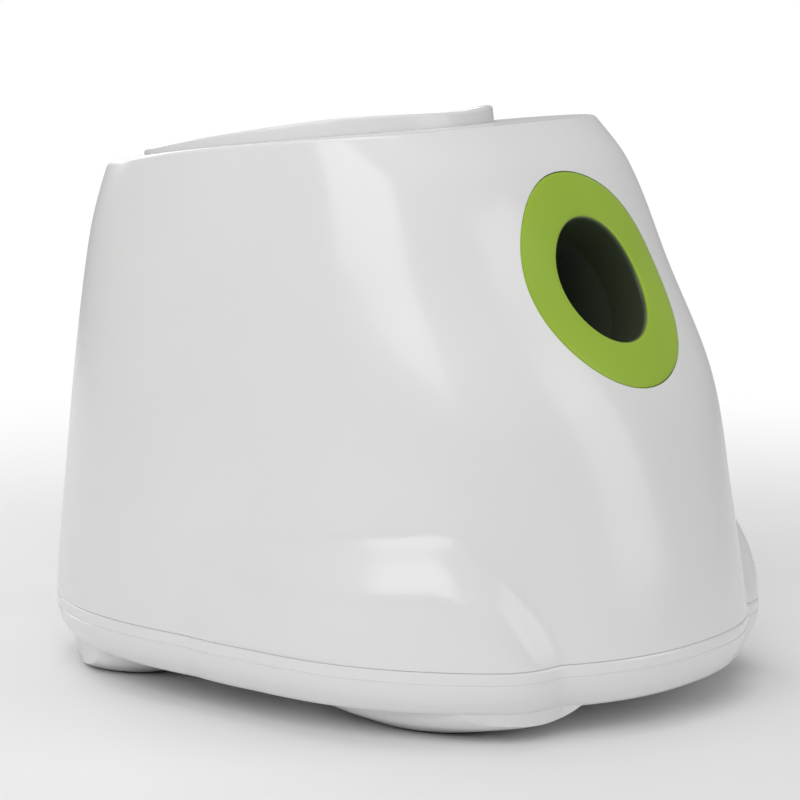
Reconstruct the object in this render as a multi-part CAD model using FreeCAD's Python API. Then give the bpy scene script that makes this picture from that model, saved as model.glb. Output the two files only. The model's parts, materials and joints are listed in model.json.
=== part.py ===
import FreeCAD, Part
import math
import os

Vector = FreeCAD.Vector
Placement = FreeCAD.Placement
Rotation = FreeCAD.Rotation

# Automatic dog ball launcher, in millimetres. +Z is up, the launch hole faces -Y,
# and the origin is on the floor under the middle of the body.

# Body outline, read up the middle of the front, the back and the side
front_length = 195.8
rear_length = 195.8
seam_half_width = 150.0
widest_y = -12.0
front_lean = [(15.0, 7.0), (26.0, 1.6), (40.0, 0.0), (100.0, 11.8), (163.0, 29.8), (225.3, 64.1),
              (280.6, 91.4), (305.0, 117.5), (330.0, 150.0)]
rear_lean = [(15.0, 11.0), (26.0, 2.2), (40.0, 0.0), (113.0, 8.3), (239.0, 22.5), (274.6, 32.0),
             (305.0, 46.0), (330.0, 62.0)]
side_lean = [(15.0, 8.0), (26.0, 1.8), (40.0, 0.0), (100.0, 1.0), (165.0, 5.0), (225.0, 12.0),
             (265.0, 19.0), (305.0, 28.0), (330.0, 35.0)]
front_squareness = [(15.0, 2.3), (110.0, 2.35), (200.0, 2.7), (330.0, 2.7)]
rear_squareness = 2.6
tray_bottom = 16.0
seam_height = 40.0
shell_wall = 3.0
seam_tongue = 4.0
tongue_wall = 2.0
fit_gap = 0.3
outline_points = 40
body_stations = [40.0, 52.0, 64.0, 74.0, 83.0, 91.0, 99.0, 107.0, 115.0, 130.0, 150.0, 172.0, 194.0,
                 216.0, 238.0, 258.0, 276.0, 292.0, 312.0]
ring_stations = body_stations[8:]
tray_stations = [16.0, 20.0, 26.0, 33.0, 40.0]

# Haunch swelling at each lower front corner
haunch_depth = 15.0
haunch_start = 56.0
haunch_end = -8.0
haunch_crest = 113.0
haunch_rise = 34.0

# Crowned top deck, from the front corner down to the rear corner
deck_front = (-78.3, 305.0)
deck_rear = (163.8, 274.6)
deck_crown = 4.0

# Launch hole and the green ring round it
launch_tilt = 26.3
ring_y = -131.7
ring_z = 225.3
ring_radius = 62.0
ring_gap = 0.4
ring_flange = 5.0
ring_flange_thickness = 2.4
ring_seat_gap = 0.3
mouth_flare = 10.0

# Launch duct, from the ring's sleeve to the funnel's spout
bore_radius = 35.0
duct_wall = 3.0
sleeve_length = 24.0
duct_socket = 12.0
straight_length = 165.0
bend_radius = 45.0
duct_flange = 8.0
flange_thickness = 3.0
throat_top = 213.0
spout_overlap = 11.0
duct_screw_radius = 1.5

# Launch wheels and their motors
ball_radius = 33.0
wheel_distance = 118.0
wheel_radius = 42.0
wheel_grip = 4.0
tyre_width = 28.0
tyre_thickness = 10.0
tyre_waist = 3.0
hub_rim = 4.0
hub_web = 4.0
hub_boss_radius = 6.5
hub_boss_length = 26.0
hub_holes = 6
hub_hole_radius = 5.0
window_gap = 2.0
plate_drop = 19.0
plate_thickness = 3.0
motor_radius = 17.9
motor_length = 50.0
motor_boss_radius = 6.5
motor_boss_height = 3.0
motor_cap_radius = 15.0
motor_cap_length = 4.0
motor_screw_circle = 12.5
motor_screw_radius = 1.5
shaft_radius = 1.6
shaft_running_gap = 0.05
terminal_length = 6.0

# Ball gate, its gear and its motor
gate_y_behind_throat = 41.0
gate_z = 201.0
gate_length = 52.0
gate_width = 30.0
gate_thickness = 3.0
gate_hub_radius = 4.5
gate_hub_length = 48.0
gate_shaft_radius = 2.0
gate_open_angle = 78.0
cheek_inner = 26.0
cheek_thickness = 3.0
cheek_radius = 7.0
gear_module = 1.0
gear_teeth = 36
pinion_teeth = 12
gear_thickness = 5.0
gear_backlash = 0.16
gear_addendum = 0.7
gear_dedendum = 1.15
pressure_angle = 20.0
pinion_bearing = 30.0
gate_motor_radius = 12.0
gate_motor_length = 24.0
gate_motor_shaft_radius = 1.5

# Funnel insert and its collar
funnel_offset = 12.0
collar_radius = 97.0
collar_wall = 3.5
collar_front_height = 10.0
collar_rear_height = 5.0
funnel_wall = 2.6
funnel_flange_radius = 101.0
funnel_flange_drop = 7.5
funnel_flange_thickness = 2.5
funnel_lug_circle = 106.0
funnel_lug_radius = 5.0
spout_top = 229.0
sensor_radius = 2.5
sensor_reach = 6.4
sensor_height = throat_top + spout_overlap + 3.2
bowl_rings = [(-27.0, 5.0, 79.0), (-44.0, 20.0, 57.0)]

# Feet under the tray: middle, half sizes at the top, at half height and at the pad
front_foot = {"x": 92.0, "y": -89.0, "top": (46.0, 90.0), "middle": (41.0, 70.0), "pad": (27.0, 38.0)}
rear_foot = {"x": 84.0, "y": 124.0, "top": (40.0, 60.0), "middle": (35.0, 48.0), "pad": (22.0, 30.0)}
foot_top = 19.0
foot_middle = 9.0
foot_overlap = 4.0
foot_set_in = 1.0
foot_taper = 12.0
pad_top = 2.6
pad_inset = 3.0
pad_depth = 1.0

# Power socket in the left front foot
socket_y = -95.7
socket_z = 13.0
socket_radius = 6.0
socket_bore = 3.2
socket_depth = 9.5
socket_length = 14.0
socket_pin_radius = 1.05
socket_face_x = 128.0

# Battery bay for six C cells and its sliding door
bay_half_width = 43.0
bay_half_length = 57.0
bay_top = 50.0
bay_wall = 2.5
door_half_width = 48.5
door_half_length = 63.0
door_thickness = 2.6
door_travel = 12.0
door_tongue = 1.4
cell_radius = 13.1
spring_radius = 6.0

# Rear control panel
panel_z = 103.0
panel_width = 68.0
panel_height = 32.0
panel_thickness = 3.0
panel_proud = 0.6
panel_ledge = 4.0
panel_flange_depth = 6.0
panel_flange_thickness = 1.6
button_radius = 4.5
button_proud = 3.6
button_spacing = 26.0
button_travel = 1.2
button_gap = 0.3
lens_radius = 2.2
lens_spacing = 9.0
board_thickness = 1.6
panel_board_drop = 9.0

# Main board on its posts
main_board_size = (84.0, 68.0)
main_board_y = 124.0
main_board_z = 36.0
post_radius = 3.5

# Stands that carry the duct
front_stand_y = -83.0
rear_stand_y = 36.0
stand_thickness = 4.0
stand_foot_depth = 14.0
front_stand_half = 40.0
rear_stand_half = 66.0
saddle_clearance = 0.2

# Screws
screw_radius = 1.5
screw_head_radius = 2.9
screw_head_height = 2.0
screw_fit = 0.05
housing_screw_angles = [-78.0, 13.0, 78.0]
boss_inset = 13.0
boss_radius = 5.5
boss_height = 24.0
tube_web_height = 12.0


def between(table, height):
    # a smooth curve through the table's points, read at one height
    last = len(table) - 1
    index = 0
    while index < last - 1 and height > table[index + 1][0]:
        index += 1
    (z0, v0), (z1, v1) = table[index], table[index + 1]
    slope = (v1 - v0) / (z1 - z0)
    start = slope if index == 0 else (v1 - table[index - 1][1]) / (z1 - table[index - 1][0])
    end = slope if index + 1 == last else (table[index + 2][1] - v0) / (table[index + 2][0] - z0)
    span = z1 - z0
    q = (height - z0) / span
    return (v0 * (2 * q ** 3 - 3 * q ** 2 + 1) + start * span * (q ** 3 - 2 * q ** 2 + q)
            + v1 * (3 * q ** 2 - 2 * q ** 3) + end * span * (q ** 3 - q ** 2))


def haunch_bulge(angle, height):
    # how far the haunch stands out, at an angle before the side and a height
    across = (haunch_start + angle) / (haunch_start - haunch_end)
    if across <= 0.0 or across >= 1.0:
        return 0.0
    crest = haunch_crest - 62.0 * max(0.0, 0.36 - across) ** 1.2 / 0.36 ** 1.2 - 16.0 * across
    under = (crest - height) / haunch_rise
    if under <= 0.0:
        return 0.0
    rise = 1.0 - (1.0 - min(under, 1.0)) ** 2
    fade = min(1.0, across / 0.2) * (1.0 - max(0.0, (across - 0.3) / 0.7) ** 1.5)
    return haunch_depth * rise * math.sin(math.pi / 2 * fade)


def outline_point(angle, height, inset=0.0):
    # a point of the body's outline; angle 0 is the left side and -90 the front
    cos, sin = math.cos(math.radians(angle)), math.sin(math.radians(angle))
    half_width = seam_half_width - between(side_lean, height) - inset
    front = front_length - between(front_lean, height) - inset + widest_y
    rear = rear_length - between(rear_lean, height) - inset - widest_y
    power = between(front_squareness, height) if sin < 0 else rear_squareness
    x = math.copysign(abs(cos) ** (2.0 / power), cos) * half_width
    y = math.copysign(abs(sin) ** (2.0 / power), sin) * (front if sin < 0 else rear)
    bulge = haunch_bulge(math.degrees(math.asin(sin)), height)
    reach = math.hypot(x / half_width ** 2, y / (front if sin < 0 else rear) ** 2) or 1.0
    x += bulge * x / half_width ** 2 / reach
    y += bulge * y / (front if sin < 0 else rear) ** 2 / reach
    return Vector(x, y + widest_y, height)


def outline_angles():
    step = 360.0 / outline_points
    return [-90.0 + step * (index + 0.5) for index in range(outline_points)]


def outline_wire(height, inset, level):
    # the outline of one height as a smooth closed curve, laid at a level
    points = [outline_point(angle, height, inset) for angle in outline_angles()]
    curve = Part.BSplineCurve()
    curve.interpolate([Vector(point.x, point.y, level) for point in points], PeriodicFlag=True)
    return Part.Wire([curve.toShape()])


def body_loft(stations, inset=0.0):
    # a closed solid through the outlines at the given heights
    return Part.makeLoft([outline_wire(height, inset, height) for height in stations], True, True)


def box(x0, x1, y0, y1, z0, z1):
    return Part.makeBox(x1 - x0, y1 - y0, z1 - z0, Vector(x0, y0, z0))


def rod(radius, start, end):
    along = end - start
    return Part.makeCylinder(radius, along.Length, start, along)


def tube(outer, inner, start, end):
    return rod(outer, start, end).cut(rod(inner, start, end))


def plate(points, thickness, direction):
    # a flat plate with the given corner points, thickened along a direction
    face = Part.Face(Part.makePolygon(points + [points[0]]))
    return face.extrude(direction * thickness)


def oval(half_x, half_y, height, centre_x, centre_y):
    major, minor = max(half_x, half_y), min(half_x, half_y)
    ellipse = Part.Ellipse(Vector(0, 0, 0), major, minor)
    edge = ellipse.toShape()
    if half_y > half_x:
        edge.rotate(Vector(0, 0, 0), Vector(0, 0, 1), 90)
    edge.translate(Vector(centre_x, centre_y, height))
    return Part.Wire([edge])


def fuse(shapes):
    return shapes[0].multiFuse(shapes[1:]) if len(shapes) > 1 else shapes[0]


def placed(shape, frame):
    moved = shape.copy()
    moved.Placement = frame.multiply(moved.Placement)
    return moved


def mirrored_x(shape):
    return shape.mirror(Vector(0, 0, 0), Vector(1, 0, 0))


def screw(length, head_radius=screw_head_radius, radius=screw_radius):
    # a pan head screw, head up, with the seat of its head at the origin
    rim = Part.makeCylinder(head_radius, screw_head_height * 0.5)
    dome = Part.makeCone(head_radius, head_radius * 0.7, screw_head_height * 0.5,
                         Vector(0, 0, screw_head_height * 0.5))
    slot = box(-head_radius, head_radius, -0.4, 0.4, screw_head_height * 0.6, screw_head_height + 1.0)
    shank = Part.makeCylinder(radius, length, Vector(0, 0, -length))
    return fuse([rim, dome, shank]).cut(slot)


# Frames: the launch axis, the two wheel axes, the deck and the rear wall
launch_frame = Placement(Vector(0, ring_y, ring_z), Rotation(Vector(1, 0, 0), 90.0 - launch_tilt))
wheel_offset = ball_radius - wheel_grip + wheel_radius
left_wheel_frame = launch_frame.multiply(
    Placement(Vector(wheel_offset, 0, -wheel_distance), Rotation(Vector(1, 0, 0), -90.0)))
right_wheel_frame = launch_frame.multiply(
    Placement(Vector(-wheel_offset, 0, -wheel_distance), Rotation(Vector(1, 0, 0), -90.0)))
deck_run = math.hypot(deck_rear[0] - deck_front[0], deck_rear[1] - deck_front[1])
deck_angle = math.degrees(math.atan2(deck_front[1] - deck_rear[1], deck_rear[0] - deck_front[0]))
deck_radius = deck_run ** 2 / 8.0 / deck_crown + deck_crown / 2.0
deck_middle = Vector(0, (deck_front[0] + deck_rear[0]) / 2.0, (deck_front[1] + deck_rear[1]) / 2.0)
deck_turn = Rotation(Vector(1, 0, 0), -deck_angle)
deck_apex = deck_middle + deck_turn.multVec(Vector(0, 0, deck_crown))
deck_frame = Placement(deck_apex, deck_turn)
rear_low, rear_high = outline_point(90.0, panel_z - 12.0), outline_point(90.0, panel_z + 12.0)
rear_lean_angle = math.degrees(math.atan2(rear_low.y - rear_high.y, rear_high.z - rear_low.z))
panel_frame = Placement(outline_point(90.0, panel_z), Rotation(Vector(1, 0, 0), -90.0 + rear_lean_angle))
bend_centre = launch_frame.multVec(Vector(0, bend_radius, -straight_length))
throat_y = bend_centre.y + bend_radius
bend_angle = 90.0 + launch_tilt
gate_y = throat_y + gate_y_behind_throat
gear_distance = gear_module * (gear_teeth + pinion_teeth) / 2.0
pinion_y = gate_y + gear_distance * math.cos(math.radians(pinion_bearing))
pinion_z = gate_z + gear_distance * math.sin(math.radians(pinion_bearing))
gear_plane = cheek_inner + cheek_thickness + 2.0
funnel_centre = deck_frame.multVec(Vector(0, funnel_offset, 0))


def deck_cylinder(drop):
    # everything under the crowned deck, or under its inner face
    reach = 2.0 * seam_half_width
    start = deck_frame.multVec(Vector(-reach, 0, -deck_radius))
    end = deck_frame.multVec(Vector(reach, 0, -deck_radius))
    return rod(deck_radius - drop, start, end)


def under_deck(solid, drop):
    return solid.common(deck_cylinder(drop))


def panel_outline(grow, depth_start, depth_end):
    # a rounded oblong across the rear wall, in the panel's own frame
    half = panel_width / 2.0 + grow
    tall = panel_height / 2.0 + grow
    middle = box(-half + tall, half - tall, -tall, tall, depth_start, depth_end)
    ends = [Part.makeCylinder(tall, depth_end - depth_start, Vector(side * (half - tall), 0, depth_start))
            for side in (-1, 1)]
    return fuse([middle] + ends)


def boss_points():
    # screw places just inside the wall, round the seam
    points = []
    for angle in housing_screw_angles:
        point = outline_point(angle, seam_height, boss_inset + shell_wall)
        points += [Vector(point.x, point.y, 0), Vector(-point.x, point.y, 0)]
    return points


def funnel_lug_points():
    reach = funnel_lug_circle * math.sqrt(0.5)
    return [Vector(x * reach, funnel_offset + y * reach, 0) for x in (-1, 1) for y in (-1, 1)]


def make_upper_housing(outer, inner):
    shell = under_deck(outer, 0.0)
    hollow = under_deck(inner, shell_wall)
    shell = shell.cut(hollow)
    hole = rod(ring_radius + ring_gap, Vector(0, 0, -25), Vector(0, 0, 40))
    shell = shell.cut(placed(hole, launch_frame))
    collar_hole = rod(collar_radius + ring_gap, Vector(0, funnel_offset, -30), Vector(0, funnel_offset, 30))
    shell = shell.cut(placed(collar_hole, deck_frame))
    shell = shell.cut(placed(panel_outline(fit_gap, -shell_wall * 4, 10.0), panel_frame))
    pieces = [shell]
    for point in boss_points():
        boss = rod(boss_radius, point + Vector(0, 0, seam_height + seam_tongue),
                   point + Vector(0, 0, seam_height + boss_height))
        out = Vector(point.x, point.y - widest_y, 0).normalize()
        web = box(0, boss_inset + shell_wall * 0.5, -1.2, 1.2, seam_height + seam_tongue,
                  seam_height + tube_web_height)
        web.rotate(Vector(0, 0, 0), Vector(0, 0, 1), math.degrees(math.atan2(out.y, out.x)))
        web.translate(point)
        pieces += [boss, web]
    for point in funnel_lug_points():
        stub = rod(funnel_lug_radius, point + Vector(0, 0, -funnel_flange_drop), point)
        pieces.append(under_deck(placed(stub, deck_frame), shell_wall * 0.5))
    shell = fuse(pieces)
    for point in boss_points():
        pilot = rod(screw_radius + screw_fit, point + Vector(0, 0, seam_height),
                    point + Vector(0, 0, seam_height + boss_height - 3.0))
        shell = shell.cut(pilot)
    for point in funnel_lug_points():
        pilot = rod(screw_radius + screw_fit, point + Vector(0, 0, -funnel_flange_drop - 1),
                    point + Vector(0, 0, -shell_wall * 0.6))
        shell = shell.cut(placed(pilot, deck_frame))
    return shell


def foot_column(inset):
    # a tapering column that keeps the feet inside the body's outline
    wires = [outline_wire(foot_top, foot_set_in + inset, foot_top + foot_overlap),
             outline_wire(foot_top, foot_set_in + inset, foot_top),
             outline_wire(foot_top, foot_set_in + foot_taper + inset, 0.0)]
    return Part.makeLoft(wires, True, True)


def foot_loft(foot, side, inset, bottom):
    levels = [(foot["top"], foot_top), (foot["middle"], foot_middle), (foot["pad"], bottom)]
    wires = [oval(size[0] - inset, size[1] - inset, level, side * foot["x"], foot["y"])
             for size, level in levels]
    bulge = Part.makeLoft(wires, True, False)
    if inset > 0.0:
        bulge = bulge.fuse(Part.Face(wires[0]).extrude(Vector(0, 0, foot_overlap)))
    return bulge.common(foot_column(inset))


def make_base_tray(outer, inner):
    solid = [outer]
    hollow = [inner]
    for foot in (front_foot, rear_foot):
        for side in (-1, 1):
            solid.append(foot_loft(foot, side, 0.0, pad_top - pad_depth))
            hollow.append(foot_loft(foot, side, shell_wall, pad_top - pad_depth + shell_wall))
    tray = fuse(solid)
    for space in hollow:
        tray = tray.cut(space)
    reach = 2.0 * seam_half_width
    tongue = body_loft(body_stations[:2], shell_wall + fit_gap)
    tongue = tongue.common(box(-reach, reach, -reach, reach, 0, seam_height + seam_tongue))
    root = body_loft([seam_height - 3.0, seam_height], shell_wall * 0.5)
    inside = body_loft([seam_height - 4.0, body_stations[1]], shell_wall + fit_gap + tongue_wall)
    parts = [tray, tongue.fuse(root).cut(inside), battery_bay_block()]
    floor = tray_bottom + shell_wall
    for point in boss_points():
        parts.append(rod(boss_radius, point + Vector(0, 0, tray_bottom + 1.0),
                         point + Vector(0, 0, seam_height + seam_tongue - 0.1)))
    for point in board_post_points():
        parts.append(rod(post_radius, point + Vector(0, 0, floor - 1.0), point + Vector(0, 0, main_board_z)))
    tray = fuse(parts)
    tray = tray.cut(battery_space())
    for point in boss_points():
        tray = tray.cut(rod(screw_radius + screw_fit * 4, point, point + Vector(0, 0, seam_height + 8.0)))
        tray = tray.cut(rod(screw_head_radius + 0.4, point, point + Vector(0, 0, seam_height - 8.0)))
    for point in board_post_points():
        tray = tray.cut(rod(1.2, point + Vector(0, 0, floor + 1.0), point + Vector(0, 0, main_board_z + 1)))
    for point in stand_screw_points():
        tray = tray.fuse(rod(4.5, point + Vector(0, 0, floor - 1.0), point + Vector(0, 0, floor + 2.0)))
        tray = tray.cut(rod(1.2, point + Vector(0, 0, tray_bottom + 0.8), point + Vector(0, 0, floor + 3.0)))
    pocket = rod(socket_radius + ring_gap, Vector(socket_face_x - 3.0, socket_y, socket_z),
                 Vector(socket_face_x + 30.0, socket_y, socket_z))
    body_hole = rod(socket_bore + 1.8 + fit_gap, Vector(socket_face_x - 20.0, socket_y, socket_z),
                    Vector(socket_face_x + 5.0, socket_y, socket_z))
    return tray.cut(pocket).cut(body_hole)


def battery_bay_block():
    half = door_half_width + fit_gap + bay_wall
    length = door_half_length + fit_gap + bay_wall
    pan = box(-half, half, -length, length + door_travel,
              tray_bottom, tray_bottom + door_thickness + bay_wall + 0.3)
    bay = box(-bay_half_width - bay_wall, bay_half_width + bay_wall, -bay_half_length - bay_wall,
              bay_half_length + bay_wall, tray_bottom, bay_top + bay_wall)
    return pan.fuse(bay)


def battery_space():
    recess_top = tray_bottom + door_thickness + fit_gap
    recess = box(-door_half_width - fit_gap, door_half_width + fit_gap, -door_half_length - fit_gap,
                 door_half_length + fit_gap + door_travel, tray_bottom - 1.0, recess_top)
    groove = box(-door_half_width - door_tongue - fit_gap, door_half_width + door_tongue + fit_gap,
                 -door_half_length - fit_gap, door_half_length + fit_gap + door_travel,
                 tray_bottom + 1.0, recess_top)
    bay = box(-bay_half_width, bay_half_width, -bay_half_length, bay_half_length, tray_bottom, bay_top)
    return recess.fuse(groove).fuse(bay)


def make_battery_door():
    slab = box(-door_half_width, door_half_width, -door_half_length, door_half_length, tray_bottom,
               tray_bottom + door_thickness)
    tongues = box(-door_half_width - door_tongue, door_half_width + door_tongue, -door_half_length + 8.0,
                  door_half_length - 8.0, tray_bottom + 1.3, tray_bottom + door_thickness)
    door = slab.fuse(tongues)
    grip_y = -door_half_length + 14.0
    for row in range(4):
        groove = rod(1.0, Vector(-9.0, grip_y + row * 3.2, tray_bottom - 0.3),
                     Vector(9.0, grip_y + row * 3.2, tray_bottom - 0.3))
        door = door.cut(groove)
    return door


def make_battery_contacts():
    # plated strips on the end walls of the bay, each with its cone of spring wire
    pieces = []
    centre_z = bay_top - cell_radius - 2.0
    for end in (-1, 1):
        wall = end * (bay_half_length - 0.1)
        for column in (-1, 0, 1):
            x = column * (2.0 * cell_radius + 1.6)
            strip = box(x - 9.0, x + 9.0, min(wall, wall - end * 0.6), max(wall, wall - end * 0.6),
                        centre_z - 9.0, centre_z + 9.0)
            cone = Part.makeCone(spring_radius, spring_radius * 0.45, 5.0,
                                 Vector(x, wall - end * 0.5, centre_z), Vector(0, -end, 0))
            core = Part.makeCone(spring_radius - 0.9, spring_radius * 0.45 - 0.9, 5.0,
                                 Vector(x, wall - end * 0.5, centre_z), Vector(0, -end, 0))
            pieces.append(strip.fuse(cone.cut(core)))
    return Part.makeCompound(pieces)


def make_rubber_feet():
    pads = []
    for foot in (front_foot, rear_foot):
        for side in (-1, 1):
            wires = [oval(foot["pad"][0] - pad_inset - 0.8, foot["pad"][1] - pad_inset - 0.8, 0.0,
                          side * foot["x"], foot["y"]),
                     oval(foot["pad"][0] - pad_inset, foot["pad"][1] - pad_inset, 0.8,
                          side * foot["x"], foot["y"]),
                     oval(foot["pad"][0] - pad_inset, foot["pad"][1] - pad_inset, pad_top - pad_depth,
                          side * foot["x"], foot["y"])]
            pads.append(Part.makeLoft(wires, True, True))
    return Part.makeCompound(pads)


def make_nozzle_ring(outer, lofts):
    seat, back = lofts
    disc = outer.common(placed(rod(ring_radius, Vector(0, 0, -25), Vector(0, 0, 25)), launch_frame))
    rim = rod(ring_radius + ring_flange, Vector(0, 0, -30), Vector(0, 0, 25))
    rim = seat.common(placed(rim, launch_frame))
    ring = disc.fuse(rim).cut(back)
    sleeve = rod(bore_radius + duct_wall, Vector(0, 0, -sleeve_length), Vector(0, 0, 0))
    ring = ring.fuse(placed(sleeve, launch_frame).common(outer))
    flare_centre = bore_radius + mouth_flare
    low = -mouth_flare + 0.6
    arc = Part.Arc(Vector(bore_radius, 0, low),
                   Vector(flare_centre - mouth_flare * math.sqrt(0.5), 0, low + mouth_flare * math.sqrt(0.5)),
                   Vector(flare_centre, 0, low + mouth_flare)).toShape()
    lines = Part.makePolygon([Vector(flare_centre, 0, low + mouth_flare), Vector(flare_centre, 0, 30),
                              Vector(0, 0, 30), Vector(0, 0, -60), Vector(bore_radius, 0, -60),
                              Vector(bore_radius, 0, low)])
    profile = Part.Face(Part.Wire([arc] + lines.Edges))
    mouth = profile.revolve(Vector(0, 0, 0), Vector(0, 0, 1), 360)
    return ring.cut(placed(mouth, launch_frame))


def duct_path(radius, extra=0.0):
    # the ball's way as a solid: the straight barrel, the bend and the upright throat
    start = -sleeve_length + extra
    barrel = placed(rod(radius, Vector(0, 0, -straight_length), Vector(0, 0, start)), launch_frame)
    face = Part.Face(Part.Wire([Part.makeCircle(radius, Vector(0, 0, -straight_length), Vector(0, 0, 1))]))
    bend = face.revolve(Vector(0, bend_radius, -straight_length), Vector(1, 0, 0), bend_angle)
    bend = placed(bend, launch_frame)
    throat = rod(radius, Vector(0, throat_y, bend_centre.z), Vector(0, throat_y, throat_top))
    return fuse([barrel, bend, throat])


def duct_sockets(radius):
    # the wider ends that take the ring's sleeve and the funnel's spout
    front = placed(rod(radius, Vector(0, 0, -sleeve_length), Vector(0, 0, -sleeve_length + duct_socket)),
                   launch_frame)
    top = rod(radius, Vector(0, throat_y, throat_top), Vector(0, throat_y, throat_top + spout_overlap))
    return front, top


def duct_screw_points():
    # screw places along the duct's flanges, in the middle plane
    reach = bore_radius + duct_wall + duct_flange * 0.5
    points = [launch_frame.multVec(Vector(0, side * reach, -along)) for side in (-1, 1)
              for along in (52.0, straight_length - 12.0)]
    for angle in (45.0, 78.0):
        turn = math.radians(angle - launch_tilt)
        out = bend_radius + reach
        points.append(bend_centre + Vector(0, math.sin(turn) * out, -math.cos(turn) * out))
    return points


def duct_flange_plate(reach, thickness=flange_thickness, low=0.0):
    # the flat seam flange in the middle plane, round the outside of the duct
    start = -sleeve_length - duct_socket * 0.5
    barrel = box(low, thickness, -reach, reach, -straight_length, start)
    corner = [Vector(low, bend_radius, -straight_length), Vector(thickness, bend_radius, -straight_length),
              Vector(thickness, -reach, -straight_length), Vector(low, -reach, -straight_length)]
    face = Part.Face(Part.makePolygon(corner + [corner[0]]))
    bend = face.revolve(Vector(0, bend_radius, -straight_length), Vector(1, 0, 0), bend_angle)
    throat = box(low, thickness, throat_y - reach, throat_y + reach, bend_centre.z, throat_top - 4.0)
    return fuse([placed(barrel, launch_frame), placed(bend, launch_frame), throat])


def make_launch_duct(side):
    # one moulded half of the barrel, bend and throat, with its motor plate and gate cheek
    outer_radius = bore_radius + duct_wall
    half = box(0, 400, -400, 400, 0, 400)
    front_socket, top_socket = duct_sockets(outer_radius + duct_wall + fit_gap)
    front_space, top_space = duct_sockets(outer_radius + fit_gap)
    path = duct_path(outer_radius).fuse(front_socket).fuse(top_socket).common(half)
    flange = duct_flange_plate(outer_radius + duct_flange)
    duct = path.fuse(flange)
    plate_z0 = -wheel_distance - motor_radius - 12.0
    plate_z1 = -wheel_distance + motor_radius + 12.0
    corner = outer_radius * 0.72
    outline = [Vector(corner, 0, plate_z0), Vector(wheel_offset + 14.0, 0, plate_z0),
               Vector(wheel_offset + 26.0, 0, plate_z0 + 12.0),
               Vector(wheel_offset + 26.0, 0, plate_z1 - 12.0),
               Vector(wheel_offset + 14.0, 0, plate_z1), Vector(corner, 0, plate_z1)]
    wing = plate(outline, plate_thickness, Vector(0, -1, 0))
    wing.translate(Vector(0, -plate_drop, 0))
    gussets = []
    for level in (plate_z0, plate_z1 - 2.5):
        gusset = plate([Vector(corner, -plate_drop, level),
                        Vector(wheel_offset + 12.0, -plate_drop - 1.0, level),
                        Vector(wheel_offset + 12.0, -plate_drop - plate_thickness - 3.0, level),
                        Vector(outer_radius * 0.3, -outer_radius, level)], 2.5, Vector(0, 0, 1))
        gussets.append(gusset)
    wing = placed(fuse([wing] + gussets), launch_frame)
    cheek = rod(cheek_radius, Vector(cheek_inner, gate_y, gate_z),
                Vector(cheek_inner + cheek_thickness, gate_y, gate_z))
    arm = box(cheek_inner, cheek_inner + cheek_thickness, throat_y + outer_radius * 0.45, gate_y,
              gate_z - cheek_radius, gate_z + cheek_radius)
    pieces = [duct, wing, cheek, arm]
    if side == "left":
        pieces += gate_motor_plate()
    duct = fuse(pieces)
    duct = duct.cut(duct_path(bore_radius)).cut(front_space).cut(top_space)
    window = box(bore_radius * 0.4, wheel_offset, -tyre_width / 2 - window_gap, tyre_width / 2 + window_gap,
                 -wheel_distance - wheel_radius * 0.7, -wheel_distance + wheel_radius * 0.7)
    duct = duct.cut(placed(window, launch_frame))
    gate_slot = box(-1, gate_width / 2 + window_gap, gate_y - 30.0, gate_y + 30.0,
                    gate_z - gate_length - 3.0, gate_z + gate_hub_radius + 1.2)
    duct = duct.cut(gate_slot)
    duct = duct.cut(rod(gate_shaft_radius + shaft_running_gap,
                        Vector(0, gate_y, gate_z), Vector(60, gate_y, gate_z)))
    boss_hole = rod(motor_boss_radius + 0.2, Vector(wheel_offset, -plate_drop + 1, -wheel_distance),
                    Vector(wheel_offset, -plate_drop - plate_thickness - 1, -wheel_distance))
    duct = duct.cut(placed(boss_hole, launch_frame))
    for point in motor_screw_points():
        hole = rod(motor_screw_radius + 0.15, point + Vector(0, 1, 0),
                   point + Vector(0, -plate_thickness - 1, 0))
        duct = duct.cut(placed(hole, launch_frame))
    for point in duct_screw_points():
        duct = duct.cut(rod(duct_screw_radius + screw_fit,
                            point + Vector(-10, 0, 0), point + Vector(10, 0, 0)))
    if side == "left":
        duct = duct.cut(rod(4.2, Vector(0, pinion_y, pinion_z), Vector(60, pinion_y, pinion_z)))
        for point in gate_screw_points():
            duct = duct.cut(rod(1.15, point, point + Vector(60, 0, 0)))
    duct = biggest(duct)
    return duct if side == "left" else mirrored_x(duct)


def biggest(shape):
    # the main solid of a cut, without loose slivers
    return max(shape.Solids, key=lambda solid: solid.Volume)


def gate_motor_plate():
    reach = gate_motor_radius + 1.5
    ring = rod(reach, Vector(cheek_inner, pinion_y, pinion_z),
               Vector(cheek_inner + cheek_thickness, pinion_y, pinion_z))
    link = plate([Vector(cheek_inner, gate_y - 2.0, gate_z - cheek_radius),
                  Vector(cheek_inner, pinion_y + 3.0, pinion_z - reach + 0.5),
                  Vector(cheek_inner, pinion_y - 6.0, pinion_z + reach - 2.0),
                  Vector(cheek_inner, gate_y - 6.0, gate_z + cheek_radius)], cheek_thickness, Vector(1, 0, 0))
    return [ring, link]


def motor_screw_points():
    # in the launch frame, on the upper face of the motor plate
    return [Vector(wheel_offset, -plate_drop, -wheel_distance + side * motor_screw_circle)
            for side in (-1, 1)]


def gate_screw_points():
    across = math.radians(pinion_bearing + 90.0)
    return [Vector(0, pinion_y + side * 8.5 * math.cos(across), pinion_z + side * 8.5 * math.sin(across))
            for side in (-1, 1)]


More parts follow.
